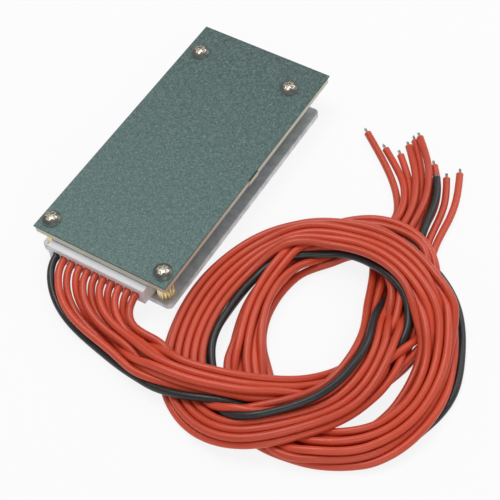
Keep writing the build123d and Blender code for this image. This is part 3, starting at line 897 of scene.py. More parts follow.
@dataclass
class Harness:
    """The eleven leads: each one cord from its crimp through the coil to its bared end.

    Sizes of the wire, its strands and its cut face are in metres, and those of places and
    steps along the wires in millimetres.

    Args:
        wire_diameter: over the insulation.
        strand_diameter: of one tinned strand.
        bared_length: how far the strands stand out of the insulation.
        strand_sunk: how far they start inside it.
        strand_tip: the width of a strand's end, as a share of the strand's.
        strand_shortening: how much shorter some strands are.
        strand_rings: how many rings a strand has.
        strand_sides: how many corners a ring of it has.
        strand_twist: how far the strands turn, in radians.
        outer_strands: how many strands lie around the middle one.
        rim_profile: radius, as a share of the wire's, and height of each ring of the cut face.
        rim_sides: how many corners the cut face has.
        tinned: the finish of the strands.
        shade_least: how dark the darkest insulation is, as a share of its colour.
        shade_step: from one shade of insulation to the next.
        curve_steps: the steps of the curve between two of its points.
        round_steps: how finely the wire is rounded.
        first_pole: where the first wire leaves the plug, across the board.
        pole_pitch: from one wire to the next.
        pole_height: of the wires in the plug.
        crimp_end: where the wires start inside the plug, along the board.
        plug_back: where they leave it.
        straight_end: where they start to turn.
        corner: the board's front left corner over the surface, in metres.
        bundle: how the wires push each other apart and lie down.
        places_step: how many steps the smooth line takes from one place to the next.
        sample_step: from one sample of a wire to the next.
        control_every: how many samples lie from one point of the cord to the next.
        row_rise: from one row of wires in the bundle to the next.
        wander: how far a wire strays from its even place in the bundle.
        sways: for each wave of that, its share, its turn for each station and for each wire.
        held_lead: up to this place across, and from this one along, the leads don't settle.
        held_tail: from this place across and along, the tails don't settle.
        held_share: the share of a wire's samples at each end that may be held.
        stacked: two corners of the area where the black wire lies on itself.
        lead_routes: for each lead, its points from the plug to the bundle.
        tail_routes: for each tail, its points from the coil to the cut end.
        tail_of_lead: for each lead, the number of its tail.
        lengths: for each lead, its length in metres; not used.
        black_places: the points of the black wire through the coil.
        stations: the bundle of red wires through the coil.
        strays: for some wires, the place aside and the height at some stations.
    """

    wire_diameter: float = 2.0 * MM
    strand_diameter: float = 0.26 * MM
    bared_length: float = 2.0 * MM
    strand_sunk: float = 0.3 * MM
    strand_tip: float = 0.55
    strand_shortening: float = 0.07
    strand_rings: int = 10
    strand_sides: int = 10
    strand_twist: float = 2.4
    outer_strands: int = 6
    rim_profile: tuple[tuple[float, float], ...] = (
        (1.01, -0.25 * MM), (1.02, -0.02 * MM), (0.90, 0.08 * MM), (0.42, 0.05 * MM), (0.36, -0.05 * MM),
    )
    rim_sides: int = 24
    tinned: Metal = Metal("tinned_strand", paint(0.36, 0.36, 0.35), paint(0.24, 0.24, 0.23), 0.32)
    shade_least: float = 0.93
    shade_step: float = 0.035
    curve_steps: int = 5
    round_steps: int = 6
    first_pole: float = 8.0
    pole_pitch: float = 2.5
    pole_height: float = 5.7
    crimp_end: float = -0.3
    plug_back: float = -2.1
    straight_end: float = -3.4
    corner: Vector = field(default_factory=lambda: Vector((*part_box("circuit_board")[0].xy, 0)))
    bundle: SoftBundle = SoftBundle()
    places_step: int = 12
    sample_step: float = 1.5
    control_every: int = 3
    row_rise: float = 1.76
    wander: float = 0.22
    sways: tuple[tuple[float, float, float], ...] = ((1.0, 0.33, 2.4), (0.4, 0.61, 1.1))
    held_lead: tuple[float, float] = (36.0, -4.6)
    held_tail: tuple[float, float] = (60.0, 55.0)
    held_share: float = 0.2
    stacked: tuple[tuple[float, float], tuple[float, float]] = ((50.0, -5.0), (57.0, 19.0))
    lead_routes: tuple[tuple[Place, ...], ...] = (
        (
            (9.7, -7.0, 5.3), (11.6, -9.8, 4.7), (15.0, -12.7, 3.9), (19.1, -15.0, 3.0),
            (23.9, -16.5, 2.2), (30.3, -17.9, 1.6), (37.2, -19.0, 2.0), (44.0, -19.9, 3.2),
            (50.2, -20.4, 4.7), (55.7, -20.0, 5.0), (60.9, -19.2, 5.0), (65.9, -17.9, 5.0),
        ),
        (
            (11.8, -6.3, 5.6), (14.2, -9.9, 5.6), (17.5, -12.8, 5.4), (21.6, -15.2, 5.2),
            (26.6, -16.7, 5.0), (32.3, -17.8, 4.8), (38.2, -18.4, 4.8),
        ),
        (
            (13.6, -5.6, 5.2), (15.5, -8.5, 4.4), (18.3, -11.1, 3.4), (22.1, -13.2, 2.6),
            (26.9, -14.5, 2.0), (32.5, -15.4, 1.9), (38.9, -16.5, 2.8),
        ),
        (
            (16.5, -5.5, 5.2), (18.6, -8.5, 4.0), (21.4, -10.7, 2.8), (25.6, -12.3, 1.8),
            (30.6, -13.3, 1.2), (36.8, -14.6, 1.8),
        ),
        (
            (19.1, -5.8, 5.5), (21.4, -9.0, 5.4), (24.5, -11.4, 5.0), (28.8, -13.3, 4.6),
            (33.8, -14.5, 4.4), (39.3, -15.3, 4.8),
        ),
        (
            (21.4, -5.5, 5.2), (23.2, -8.4, 4.4), (25.6, -10.5, 3.4), (29.2, -11.9, 2.6),
            (33.7, -12.7, 2.2), (39.6, -14.0, 3.2),
        ),
        (
            (24.0, -5.5, 5.6), (26.4, -8.5, 5.6), (29.8, -11.0, 5.5), (34.3, -12.8, 5.4),
            (39.5, -13.7, 5.7), (45.0, -14.2, 6.4),
        ),
        (
            (26.1, -5.5, 5.2), (27.6, -8.0, 4.2), (30.1, -9.8, 3.2), (33.8, -11.0, 2.4),
            (38.8, -11.9, 2.8),
        ),
        (
            (28.7, -5.6, 5.4), (30.4, -8.3, 4.9), (32.9, -10.4, 4.2), (36.4, -11.7, 3.7),
            (41.3, -12.7, 4.4),
        ),
        (
            (30.9, -5.6, 5.2), (32.0, -8.0, 3.9), (34.0, -9.9, 2.6), (37.3, -11.6, 2.2),
            (42.0, -12.8, 3.2),
        ),
        (
            (33.2, -5.7, 5.4), (34.7, -8.8, 5.0), (37.2, -11.0, 4.6), (40.8, -12.8, 4.9),
            (45.2, -13.7, 5.6),
        ),
    )
    tail_routes: tuple[tuple[Place, ...], ...] = (
        (
            (77.4, 52.4, 1.05), (77.4, 55.9, 1.05), (75.2, 60.6, 1.05), (71.0, 66.0, 1.05),
            (64.0, 72.4, 1.05), (56.6, 78.2, 1.05),
        ),
        (
            (78.4, 52.4, 3.2), (78.4, 56.1, 3.2), (77.0, 61.0, 2.6), (73.9, 66.5, 1.8),
            (69.1, 71.2, 1.2), (63.8, 75.4, 1.05),
        ),
        (
            (79.4, 52.4, 1.05), (79.4, 56.3, 1.05), (78.3, 61.4, 1.05), (75.8, 66.9, 1.05),
            (72.2, 71.3, 1.05), (68.4, 75.4, 1.05),
        ),
        (
            (80.6, 52.4, 3.2), (80.6, 56.5, 3.2), (79.6, 61.7, 3.2), (77.0, 67.7, 2.8),
            (73.3, 73.7, 2.0), (68.9, 79.3, 1.2),
        ),
        (
            (81.4, 52.4, 1.05), (81.4, 56.6, 1.05), (80.6, 62.4, 1.05), (78.4, 68.7, 1.05),
            (74.4, 75.8, 1.05), (69.4, 82.0, 1.05),
        ),
        (
            (82.8, 52.4, 3.2), (82.8, 56.8, 3.2), (82.2, 62.9, 3.2), (80.2, 69.1, 3.2),
            (76.1, 76.5, 3.1), (70.6, 82.6, 2.6),
        ),
        (
            (83.4, 52.4, 1.05), (83.4, 56.9, 1.05), (82.9, 62.0, 1.05), (81.4, 67.2, 1.05),
            (79.4, 71.8, 1.05),
        ),
        (
            (85.4, 52.4, 1.05), (85.4, 57.0, 1.05), (85.0, 62.6, 1.05), (83.3, 68.2, 1.05),
            (80.9, 72.8, 1.05), (78.2, 76.5, 1.05),
        ),
        (
            (85.9, 52.4, 3.3), (85.7, 57.0, 3.3), (85.0, 62.4, 3.25), (83.5, 67.3, 3.2),
            (81.3, 71.4, 3.15),
        ),
        (
            (87.9, 52.4, 1.05), (87.9, 57.0, 1.05), (87.3, 62.7, 1.05), (85.7, 68.7, 1.05),
            (83.1, 74.0, 1.05),
        ),
        (
            (90.2, 52.4, 1.05), (90.2, 57.2, 1.05), (89.8, 63.4, 1.05), (88.2, 70.6, 1.05),
            (85.5, 77.2, 1.05),
        ),
    )
    tail_of_lead: tuple[int, ...] = (9, 11, 10, 8, 7, 6, 5, 4, 3, 2, 1)
    lengths: tuple[float, ...] = (
        0.535, 0.60, 0.58, 0.56, 0.54, 0.53, 0.515, 0.495, 0.475, 0.465, 0.45,
    )
    black_places: tuple[Place, ...] = (
        (71.2, -16.4, 4.9), (75.4, -14.2, 3.9), (79.0, -11.6, 2.6),
        (82.4, -9.0, 1.8), (87.2, -5.0, 1.1), (91.6, -0.6, 1.2), (95.0, 4.6, 2.2),
        (97.0, 10.5, 3.4), (97.6, 17.0, 4.2), (96.8, 23.0, 4.9), (94.5, 28.6, 6.0),
        (90.8, 33.0, 7.0), (85.6, 35.8, 7.2), (79.5, 37.0, 6.0), (72.9, 37.0, 4.8),
        (66.9, 35.0, 4.4), (62.1, 31.2, 4.0), (58.5, 26.0, 3.4), (56.0, 20.0, 3.08),
        (54.9, 13.5, 3.08), (54.9, 6.5, 3.08), (55.5, 0.0, 3.08), (57.6, -6.0, 2.6),
        (60.8, -10.2, 1.4),
        (65.2, -11.6, 1.05), (70.6, -15.2, 1.05), (77.2, -16.4, 1.05), (84.4, -16.0, 1.05),
        (91.4, -15.2, 1.05), (98.0, -13.2, 1.05), (104.0, -9.8, 1.05), (108.8, -3.8, 1.05),
        (112.4, 1.6, 1.05), (114.1, 8.0, 1.05), (114.0, 14.0, 1.05), (112.6, 21.0, 1.05),
        (109.9, 28.2, 1.05), (106.0, 35.2, 1.05), (101.3, 40.4, 1.1), (96.4, 43.6, 2.4),
        (90.8, 45.4, 4.6), (84.6, 45.6, 5.0), (78.0, 44.6, 3.8), (71.2, 42.4, 3.4),
        (65.0, 39.0, 4.4), (60.2, 34.6, 3.6), (57.0, 29.0, 1.9), (55.2, 22.4, 1.05),
        (54.5, 16.0, 1.05), (54.3, 9.0, 1.05), (54.5, 2.0, 1.05), (55.6, -5.0, 1.05),
        (58.6, -11.0, 1.05), (62.6, -16.4, 1.3), (67.8, -19.4, 3.6), (73.0, -20.0, 6.2),
        (78.0, -17.5, 7.6), (83.0, -13.1, 8.2), (87.6, -7.8, 8.3), (90.5, -1.7, 8.3),
        (91.8, 4.9, 8.2), (91.8, 11.8, 7.8), (90.3, 18.4, 6.2), (89.0, 25.0, 3.6),
        (88.5, 31.0, 1.6), (88.0, 36.5, 1.1), (87.3, 42.0, 1.2), (86.6, 48.0, 2.2),
    )
    stations: tuple[Station, ...] = (
        Station(50.6, -17.1, 4.6, 4.8, 3), Station(55.6, -16.4, 4.6, 4.9, 3),
        Station(60.6, -15.7, 4.8, 4.9, 3), Station(65.5, -14.4, 4.8, 4.9, 3),
        Station(70.4, -13.1, 5.0, 4.8, 3), Station(73.8, -12.3, 5.6, 4.2, 3),
        Station(79.2, -8.6, 6.2, 2.8, 3), Station(84.4, -4.4, 7.0, 1.4, 3),
        Station(89.2, 0.2, 7.4, 1.05, 3), Station(92.9, 5.4, 7.4, 1.05, 3),
        Station(95.2, 11.0, 7.4, 1.05, 3), Station(96.4, 17.0, 7.8, 1.05, 3),
        Station(96.6, 23.0, 8.4, 2.0, 2), Station(95.4, 29.0, 9.0, 3.8, 2),
        Station(92.2, 34.6, 9.4, 4.9, 2), Station(87.4, 39.4, 9.4, 5.0, 2),
        Station(81.5, 42.4, 9.2, 4.4, 2), Station(74.5, 42.6, 8.6, 2.6, 2),
        Station(67.8, 39.6, 7.6, 1.2, 2), Station(63.2, 34.6, 6.6, 1.05, 3),
        Station(60.9, 28.4, 6.0, 1.05, 3), Station(60.0, 21.4, 5.6, 1.05, 3),
        Station(60.2, 14.2, 5.6, 1.05, 3), Station(61.8, 6.8, 6.2, 1.05, 3),
        Station(65.0, -0.6, 7.4, 1.05, 3), Station(69.2, -7.4, 8.6, 1.05, 2),
        Station(73.8, -12.6, 9.6, 1.05, 2), Station(79.0, -15.4, 9.2, 1.05, 2),
        Station(85.0, -16.2, 8.6, 1.05, 2), Station(91.4, -15.6, 7.8, 1.05, 3),
        Station(97.6, -13.4, 7.6, 1.05, 3), Station(103.0, -9.4, 7.2, 1.05, 3),
        Station(107.0, -3.4, 7.0, 1.05, 3), Station(108.9, 3.8, 6.8, 1.05, 3),
        Station(109.0, 11.4, 7.0, 1.05, 3), Station(107.6, 18.8, 7.4, 1.9, 3),
        Station(104.2, 26.2, 7.6, 4.2, 3), Station(98.4, 32.6, 7.8, 7.4, 2),
        Station(91.0, 37.2, 8.0, 8.4, 2), Station(83.0, 39.8, 8.0, 8.0, 2),
        Station(75.0, 40.6, 8.0, 6.6, 2), Station(67.2, 38.8, 8.2, 5.4, 2),
        Station(59.6, 34.8, 8.4, 4.2, 2), Station(53.6, 29.2, 8.8, 2.4, 2),
        Station(49.8, 22.2, 9.2, 1.1, 2), Station(48.1, 14.6, 9.4, 1.05, 2),
        Station(47.9, 6.8, 9.4, 1.05, 2), Station(49.2, -1.0, 9.4, 1.05, 2),
        Station(51.7, -8.4, 9.4, 1.05, 2), Station(55.3, -14.8, 9.4, 1.05, 2),
        Station(60.2, -19.2, 9.0, 1.05, 2), Station(66.2, -21.4, 8.6, 2.2, 2),
        Station(72.8, -21.4, 8.6, 4.0, 2), Station(78.8, -18.8, 8.8, 4.6, 2),
        Station(84.0, -14.2, 8.8, 4.9, 2), Station(89.2, -9.0, 8.8, 4.9, 2),
        Station(92.8, -2.6, 8.8, 4.8, 2), Station(94.4, 4.6, 8.8, 4.8, 2),
        Station(94.6, 11.8, 8.8, 4.6, 2), Station(92.8, 19.0, 9.2, 3.4, 2),
        Station(90.4, 26.0, 10.2, 1.6, 2), Station(88.6, 33.0, 11.4, 1.05, 2),
        Station(86.8, 39.6, 12.4, 1.05, 2), Station(84.6, 46.0, 13.4, 1.05, 2),
    )
    strays: Mapping[int, Mapping[int, tuple[float, float]]] = field(
        default_factory=lambda: {
            1: {
                13: (5.4, 1.6), 14: (6.6, 3.2), 15: (8.4, 5.0), 16: (8.8, 5.3), 17: (7.2, 5.0),
                18: (5.4, 2.6), 29: (3.8, 1.05), 30: (3.8, 1.4), 31: (3.8, 2.0), 32: (3.8, 3.0),
                33: (3.6, 3.0), 34: (3.4, 3.0),
            },
            2: {
                13: (4.4, 2.4), 14: (4.8, 3.6), 15: (6.2, 5.2), 16: (6.6, 5.4), 17: (5.2, 5.2),
            },
            10: {
                31: (-4.0, 1.4), 32: (-4.7, 1.8), 33: (-4.9, 2.2), 34: (-4.9, 2.6),
                35: (-4.7, 3.4), 36: (-4.4, 5.2),
            },
        }
    )

    def _metres(self, point: Sequence[float]) -> Vector:
        """Returns a table's point in metres, in the part's frame."""
        return self.corner + MM * Vector(point)

    def _pole(self, number: int, along: float) -> Place:
        """Returns the place of a lead's pole at some place along the board."""
        return (self.first_pole + self.pole_pitch * number, along, self.pole_height)

    def _way_out(self, number: int) -> list[Place]:
        """Returns the two points of a lead's straight start."""
        return [self._pole(number, self.crimp_end), self._pole(number, self.straight_end)]

    def _tail(self, number: int) -> tuple[Place, ...]:
        """Returns the points of a lead's tail."""
        return self.tail_routes[self.tail_of_lead[number] - 1]

    @staticmethod
    def _colour(number: int) -> WireColour:
        """Returns a lead's colour; lead 0 is the black one."""
        return WireColour.RED if number else WireColour.BLACK

    def _bundle_places(self, number: int) -> list[Place]:
        """Lays one red wire through every station of the bundle.

        Args:
            number: the wire's number, from 1 at the outer side of the bundle.
        Returns:
            One place for each station.
        """
        middles = np.array([(station.x, station.y) for station in self.stations])
        headings = np.gradient(middles, axis=0)
        headings /= np.linalg.norm(headings, axis=1)[:, None]
        share = (number - 1) / (len(self.lead_routes) - 2)
        places = []
        for index, station in enumerate(self.stations):
            row = (number - 1) % station.rows
            sway = sum(part * math.sin(step * index + turn * number) for part, step, turn in self.sways)
            aside = station.width * (0.5 - share) + self.wander * sway
            height = max(station.floor + self.row_rise * row, self.bundle.lowest)
            aside, height = self.strays.get(number, {}).get(index, (aside, height))
            along, up = headings[index]
            places.append((station.x + up * aside, station.y - along * aside, height))
        return places

    def _route(self, number: int) -> list[Place]:
        """Returns all the points of one lead, from its crimp to its cut end."""
        coil = self._bundle_places(number) if number else self.black_places
        return [*self._way_out(number), *self.lead_routes[number], *coil, *self._tail(number)]

    def _even_samples(self, places: Sequence[Place]) -> np.ndarray:
        """Draws a smooth line through places and reads it at even steps.

        Args:
            places: the places.
        Returns:
            One row for each sample.
        """
        points = np.array(places)
        points = np.vstack([2 * points[0] - points[1], points, 2 * points[-1] - points[-2]])
        line = []
        for corners in zip(points, points[1:], points[2:], points[3:]):
            knots = [0.0]
            for first, second in zip(corners, corners[1:]):
                knots.append(knots[-1] + math.sqrt(np.linalg.norm(second - first)))
            for knot in np.linspace(knots[1], knots[2], self.places_step, endpoint=False):
                line.append(self._blended(corners, knots, knot))
        line = np.array([*line, points[-2]])
        run = np.concatenate([[0], np.cumsum(np.linalg.norm(np.diff(line, axis=0), axis=1))])
        even = np.linspace(0, run[-1], round(run[-1] / self.sample_step) + 1)
        return np.stack([np.interp(even, run, line[:, axis]) for axis in range(3)], axis=1)

    @staticmethod
    def _blended(corners: Sequence[np.ndarray], knots: Sequence[float], knot: float) -> np.ndarray:
        """Finds one point of the smooth line through four corners.

        Args:
            corners: the four corners.
            knots: where the line passes them.
            knot: where the point is, between the second and third.
        Returns:
            The point.
        """
        level = list(corners)
        for spans in (((0, 1), (1, 2), (2, 3)), ((0, 2), (1, 3)), ((1, 2),)):
            shares = [(knot - knots[low]) / (knots[high] - knots[low]) for low, high in spans]
            pairs = zip(shares, level, level[1:])
            level = [(1 - share) * first + share * second for share, first, second in pairs]
        return level[0]

    def _held(self, number: int, line: np.ndarray) -> np.ndarray:
        """Finds the samples of a lead that stay where they are.

        Args:
            number: the lead's number, from 0.
            line: its samples.
        Returns:
            True for each sample in the plug, in a tail, or where the black wire lies on itself.
        """
        across, along = line[:, 0], line[:, 1]
        order, some = np.arange(len(line)), self.held_share * len(line)
        in_plug = (across < self.held_lead[0]) & (along > self.held_lead[1]) & (order < some)
        in_tail = (across > self.held_tail[0]) & (along > self.held_tail[1])
        held = in_plug | (in_tail & (order > len(line) - some))
        if self._colour(number) is WireColour.BLACK:
            low, high = self.stacked
            held |= (across > low[0]) & (across < high[0]) & (along > low[1]) & (along < high[1])
        return held

    def _controls(self, number: int, line: np.ndarray) -> list[Vector]:
        """Joins the lead's straight start, the settled coil and the tail's own points.

        Args:
            number: the lead's number, from 0.
            line: the settled samples.
        Returns:
            The control points of the cord, in metres.
        """
        lead, tail = self._way_out(number), self._tail(number)[1:]
        first, last = (
            int(np.linalg.norm(line - np.array(place), axis=1).argmin()) for place in (lead[-1], tail[0])
        )
        steps = round((last - first) / self.control_every)
        coil = line[np.linspace(first, last, steps + 1).round().astype(int)[1:-1]]
        return [self._metres(place) for place in [*lead, *coil.tolist(), *tail]]

    def _cord(self, number: int, controls: Sequence[Vector]) -> bpy.types.Object:
        """Makes one lead as a curve of one spline.

        Args:
            number: the lead's number, from 0.
            controls: its control points.
        Returns:
            The curve's object.
        """
        name = f"lead_{number + 1:02}"
        curve = bpy.data.curves.new(name, "CURVE")
        curve.dimensions = "3D"
        spline = curve.splines.new("NURBS")
        spline.points.add(len(controls) - 1)
        for point, place in zip(spline.points, controls):
            point.co = (*place, 1.0)
        spline.order_u = 3
        spline.use_endpoint_u = True
        curve.resolution_u = spline.resolution_u = self.curve_steps
        curve.bevel_depth = self.wire_diameter / 2
        curve.bevel_resolution = self.round_steps
        curve.use_fill_caps = True
        piece = bpy.data.objects.new(name, curve)
        bpy.context.scene.collection.objects.link(piece)
        colour = self._colour(number)
        shade = self.shade_least + self.shade_step * ((number * 3) % 5)
        tinted = paint(*(shade * share for share in colour.outside[:3]))
        curve.materials.append(WireInsulation(f"insulation_{number + 1:02}", tinted).material())
        tail = f"wire_tail_{self.tail_of_lead[number]:02}"
        return settle(piece, colour.slot, f"wire_lead_{number + 1:02}", "wire_coil", tail)

    def _strands(self, number: int, end: Vector, heading: Vector) -> bpy.types.Object:
        """Makes the twisted tinned strands at one cut end, with the rim of cut rubber.

        Args:
            number: the lead's number, from 0.
            end: the middle of the insulation's cut face.
            heading: the way the wire points there.
        Returns:
            The strands' object.
        """
        turn = heading.to_track_quat("Z", "Y").to_matrix().to_4x4()
        place = Matrix.Translation(end) @ turn
        mesh = bmesh.new()
        for strand in range(self.outer_strands + 1):
            reach = 0 if strand == self.outer_strands else self.strand_diameter
            phase = math.tau * strand / self.outer_strands + number
            shortened = self.strand_shortening * ((strand * 5 + number) % 3)
            self._strand(mesh, place, reach, phase, self.bared_length * (1 - shortened))
        self._rim(mesh, place)
        data = bpy.data.meshes.new(f"strands_{number + 1:02}")
        mesh.to_mesh(data)
        mesh.free()
        data.materials.append(self.tinned.material())
        data.materials.append(self._colour(number).cut.material())
        data.shade_smooth()
        piece = bpy.data.objects.new(data.name, data)
        bpy.context.scene.collection.objects.link(piece)
        return settle(piece, "solder", "conductor_tips")

    def _strand(
        self, mesh: bmesh.types.BMesh, place: Matrix, reach: float, phase: float, length: float
    ) -> None:
        """Adds one twisted strand with a rounded end.

        Args:
            mesh: the mesh to add to.
            place: the frame of the cut end, with Z along the wire.
            reach: how far the strand lies from the middle.
            phase: the angle at which it starts.
            length: how far it stands out.
        """
        rings = []
        for ring in range(self.strand_rings + 1):
            share = ring / self.strand_rings
            angle = phase + self.strand_twist * share
            height = -self.strand_sunk + (length + self.strand_sunk) * share
            middle = Vector((reach * math.cos(angle), reach * math.sin(angle), height))
            tip = 1.0 if ring < self.strand_rings else self.strand_tip
            rings.append((middle, tip * self.strand_diameter / 2))
        rows = join_rings(mesh, place, rings, self.strand_sides)
        mesh.faces.new(list(reversed(rows[0])))
        mesh.faces.new(rows[-1])

    def _rim(self, mesh: bmesh.types.BMesh, place: Matrix) -> None:
        """Adds the cut face of the insulation, a low cone around the strands.

        Args:
            mesh: the mesh to add to.
            place: the frame of the cut end, with Z along the wire.
        """
        radius = self.wire_diameter / 2
        rings = [(Vector((0, 0, height)), share * radius) for share, height in self.rim_profile]
        join_rings(mesh, place, rings, self.rim_sides, material=1)

    def build(self) -> None:
        """Lays all leads, settles them and makes each as a curve with twisted strands at its cut end."""
        lines = [self._even_samples(self._route(number)) for number in range(len(self.lead_routes))]
        held = [self._held(number, line) for number, line in enumerate(lines)]
        for number, line in enumerate(self.bundle.settled(lines, held)):
            controls = self._controls(number, line)
            cord = self._cord(number, controls)
            end = controls[-1]
            strands = self._strands(number, end, (end - controls[-2]).normalized())
            pole = self._pole(number, self.plug_back)


@dataclass
class BoardStack:
    """The board, its sheet and the plate under them.

    Args:
        sheet: the finish of the insulation sheet.
        laminate: the finish of the board.
        plate: the finish of the heatsink plate.
    """

    sheet: FibreSheet = FibreSheet("green_fibre_sheet")
    laminate: BoardLaminate = BoardLaminate("board_laminate")
    plate: Metal = Metal(
        "rolled_aluminium", paint(0.72, 0.73, 0.75), paint(0.54, 0.55, 0.57), 0.42,
        grain=(1, 0.05, 1), grain_size=0.3 * MM, metallic=0.45,
    )

    def build(self) -> None:
        """Dresses the flat pieces."""
        dress(self.sheet, "insulation_sheet")
        dress(self.laminate, "circuit_board")
        dress(self.plate, "heatsink_plate")


@dataclass
class Fastenings:
    """Knurled spacers and the screws at both of their ends.

    Args:
        brass: the finish of the spacers.
        nickel: the finish of the screws, which needs the places of their heads.
    """

    brass: Metal = Metal(
        "turned_brass", paint(0.84, 0.70, 0.38), paint(0.62, 0.50, 0.26), 0.24, (1, 1, 0.3)
    )
    nickel: PlatedHead = PlatedHead(
        "nickel_plate", paint(0.90, 0.88, 0.80), paint(0.74, 0.71, 0.63), 0.24
    )

    def _middles(self) -> tuple[tuple[float, float], ...]:
        """Finds the cover screws, one in each quarter of their box.

        Returns:
            The plan place of each.
        """
        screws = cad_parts["cover_screws"]
        points = [screws.matrix_world @ vertex.co for vertex in screws.data.vertices]
        low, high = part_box("cover_screws")
        centre = (low + high) / 2
        middles = []
        for right in (False, True):
            for far in (False, True):
                own = [
                    point for point in points
                    if (point.x > centre.x) == right and (point.y > centre.y) == far
                ]
                across, along = [point.x for point in own], [point.y for point in own]
                middles.append(((min(across) + max(across)) / 2, (min(along) + max(along)) / 2))
        return tuple(middles)

    def build(self) -> None:
        """Dresses the turned and headed pieces."""
        dress(self.brass, "spacers")
        dress(replace(self.nickel, middles=self._middles()), "cover_screws", "plate_screws")


@dataclass
class Connector:
    """The balance plug in its header, with contacts and pins.

    Args:
        nylon: the finish of both housings.
        contact: the finish of the contacts and pins.
    """

    nylon: Moulding = Moulding("white_nylon", paint(0.80, 0.80, 0.82), 0.38, 0.5 * MM, 0.006 * MM, 0.06)
    contact: Metal = Metal("tinned_brass", paint(0.74, 0.70, 0.58), paint(0.52, 0.47, 0.36), 0.26)

    def build(self) -> None:
        """Dresses the housings and their contacts."""
        dress(self.nylon, "balance_header", "balance_plug")
        dress(self.contact, "header_pins", "crimp_contacts")


@dataclass
class Underside:
    """What sits between the board and the plate.

    Args:
        moulding: the finish of the black housings.
        tinned: the finish of legs, tabs and pads.
        pad: the finish of the thermal pads.
        strip: the finish of the current shunts.
        ceramic: the finish of the capacitors.
    """

    moulding: Moulding = Moulding(
        "black_moulding", paint(0.022, 0.022, 0.023), 0.52, 0.22 * MM, 0.02 * MM
    )
    tinned: Metal = Metal("tinned_metal", paint(0.72, 0.72, 0.70), paint(0.50, 0.50, 0.49), 0.30)
    pad: SoftPad = SoftPad("silicone_pad")
    strip: Metal = Metal("resistor_strip", paint(0.50, 0.42, 0.36), paint(0.34, 0.28, 0.24), 0.30)
    ceramic: Moulding = Moulding("fired_ceramic", paint(0.36, 0.24, 0.15), 0.5)

    def build(self) -> None:
        """Dresses the parts that are soldered under the board."""
        dress(self.moulding, "charge_mosfets", "discharge_mosfets", "monitor_body")
        dress(self.moulding, "balance_transistors", "balance_resistors", "clamp_diode")
        dress(self.tinned, "charge_leadframes", "discharge_leadframes", "monitor_legs", "power_pads")
        dress(self.pad, "charge_thermal_pad", "discharge_thermal_pad")
        dress(self.strip, "current_shunts")
        dress(self.ceramic, "filter_capacitors")


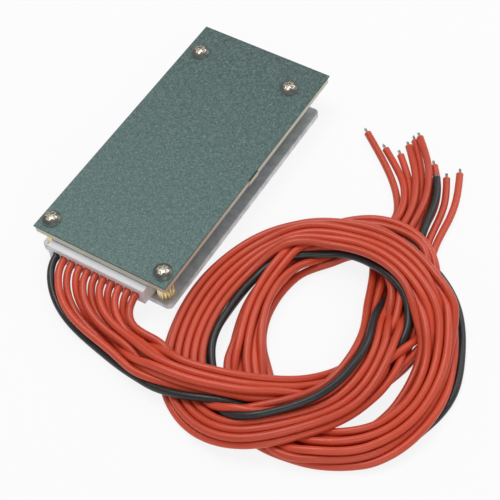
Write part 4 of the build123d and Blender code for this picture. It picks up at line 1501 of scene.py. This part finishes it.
@dataclass
class Studio:
    """The camera of the photograph, a pale floor and plain soft lamps.

    Args:
        camera_place: where the camera stands.
        camera_right: the picture's right.
        camera_up: the picture's up.
        lens: focal length in millimetres.
        sensor_width: the width of the picture behind the lens, in millimetres.
        seen_from: how near the camera sees.
        seen_to: how far it sees.
        floor_reach: from the floor's middle to its side.
        floor_cells: how many cells the floor has each way.
        floor_tone: how pale the floor is under the part.
        floor_white: how much of the floor shows as white.
        lamps: the name, place, width and power of each lamp.
        aim: where the lamps point.
        zenith_level: how bright the sky is overhead.
        horizon_level: how bright it is at the horizon and below.
    """

    camera_place: Vector = field(default_factory=lambda: Vector((0.146358, -0.185561, 0.280039)))
    camera_right: Vector = field(default_factory=lambda: Vector((0.8539, 0.5187, -0.0416)))
    camera_up: Vector = field(default_factory=lambda: Vector((-0.3952, 0.6984, 0.5967)))
    lens: float = 95.2
    sensor_width: float = 36
    seen_from: float = 0.01
    seen_to: float = 10
    floor_reach: float = 3.0
    floor_cells: int = 4
    floor_tone: float = 0.86
    floor_white: float = 0.86
    lamps: tuple[tuple[str, Place, float, float], ...] = (
        ("key_lamp", (-0.20, 0.10, 0.70), 0.45, 2.5),
        ("fill_lamp", (0.55, -0.45, 0.50), 0.60, 1.3),
        ("back_lamp", (0.25, 0.60, 0.55), 0.50, 1.4),
    )
    aim: Place = (0.03, 0.0, 0.0)
    zenith_level: float = 0.24
    horizon_level: float = 0.58

    def _camera(self) -> None:
        """Stands the camera where the photograph was taken."""
        data = bpy.data.cameras.new("photograph_camera")
        data.lens, data.sensor_width = self.lens, self.sensor_width
        data.clip_start, data.clip_end = self.seen_from, self.seen_to
        camera = bpy.data.objects.new(data.name, data)
        right = self.camera_right.normalized()
        back = right.cross(self.camera_up).normalized()
        turn = Matrix((right, back.cross(right), back)).transposed().to_4x4()
        camera.matrix_world = Matrix.Translation(self.camera_place) @ turn
        bpy.context.scene.collection.objects.link(camera)
        bpy.context.scene.camera = camera

    def _floor(self) -> None:
        """Lays the pale floor under the part."""
        mesh = bmesh.new()
        cells = self.floor_cells
        bmesh.ops.create_grid(mesh, x_segments=cells, y_segments=cells, size=self.floor_reach)
        data = bpy.data.meshes.new("floor")
        mesh.to_mesh(data)
        mesh.free()
        material = bpy.data.materials.new("pale_floor")
        desk = NodeDesk(material)
        pale = paint(self.floor_tone, self.floor_tone, self.floor_tone)
        matt = desk.node("ShaderNodeBsdfDiffuse", sockets={"Color": pale})
        bright = desk.node("ShaderNodeEmission", sockets={"Color": paint(1, 1, 1), "Strength": 1.0})
        seen = desk.node("ShaderNodeLightPath", out="Is Camera Ray")
        mirrored = desk.node("ShaderNodeLightPath", out="Is Glossy Ray")
        through = desk.node("ShaderNodeLightPath", out="Is Transmission Ray")
        share = self.floor_white * seen.most(mirrored).most(through)
        desk.close(desk.node("ShaderNodeMixShader", sockets={0: share, 1: matt, 2: bright}))
        data.materials.append(material)
        floor = bpy.data.objects.new("floor", data)
        bpy.context.scene.collection.objects.link(floor)

    def _lamp(self, name: str, place: Place, size: float, power: float) -> None:
        """Hangs one soft lamp that points at the part.

        Args:
            name: its name.
            place: where it hangs.
            size: how wide it is.
            power: how many watts it gives.
        """
        data = bpy.data.lights.new(name, "AREA")
        data.shape, data.size, data.energy = "DISK", size, power
        lamp = bpy.data.objects.new(name, data)
        lamp.location = place
        lamp.rotation_euler = (Vector(place) - Vector(self.aim)).to_track_quat("Z", "Y").to_euler()
        bpy.context.scene.collection.objects.link(lamp)

    def _world(self) -> None:
        """Lights the part evenly and shows white behind it."""
        world = bpy.data.worlds.new("studio")
        bpy.context.scene.world = world
        desk = NodeDesk(world)
        seen = desk.node("ShaderNodeLightPath", out="Is Camera Ray")
        height = desk.axis(desk.node("ShaderNodeTexCoord", out="Generated"), "Z")
        shown = self.horizon_level - (self.horizon_level - self.zenith_level) * height.most(0)
        level = shown + (1 - shown) * seen
        sky = desk.node("ShaderNodeBackground", sockets={"Color": paint(1, 1, 1), "Strength": level})
        desk.node("ShaderNodeOutputWorld", sockets={"Surface": sky})

    def build(self) -> None:
        """Sets up the whole studio."""
        self._camera()
        self._floor()
        for lamp in self.lamps:
            self._lamp(*lamp)
        self._world()
        bpy.context.scene.view_settings.view_transform = "Standard"


def main() -> None:
    """Builds the studio and every sub-assembly in turn."""
    for part in (Studio(), Harness(), BoardStack(), Fastenings(), Connector(), Underside()):
        part.build()
        REPORT.info("%s is done", type(part).__name__)


if __name__ == "__main__":
    main()
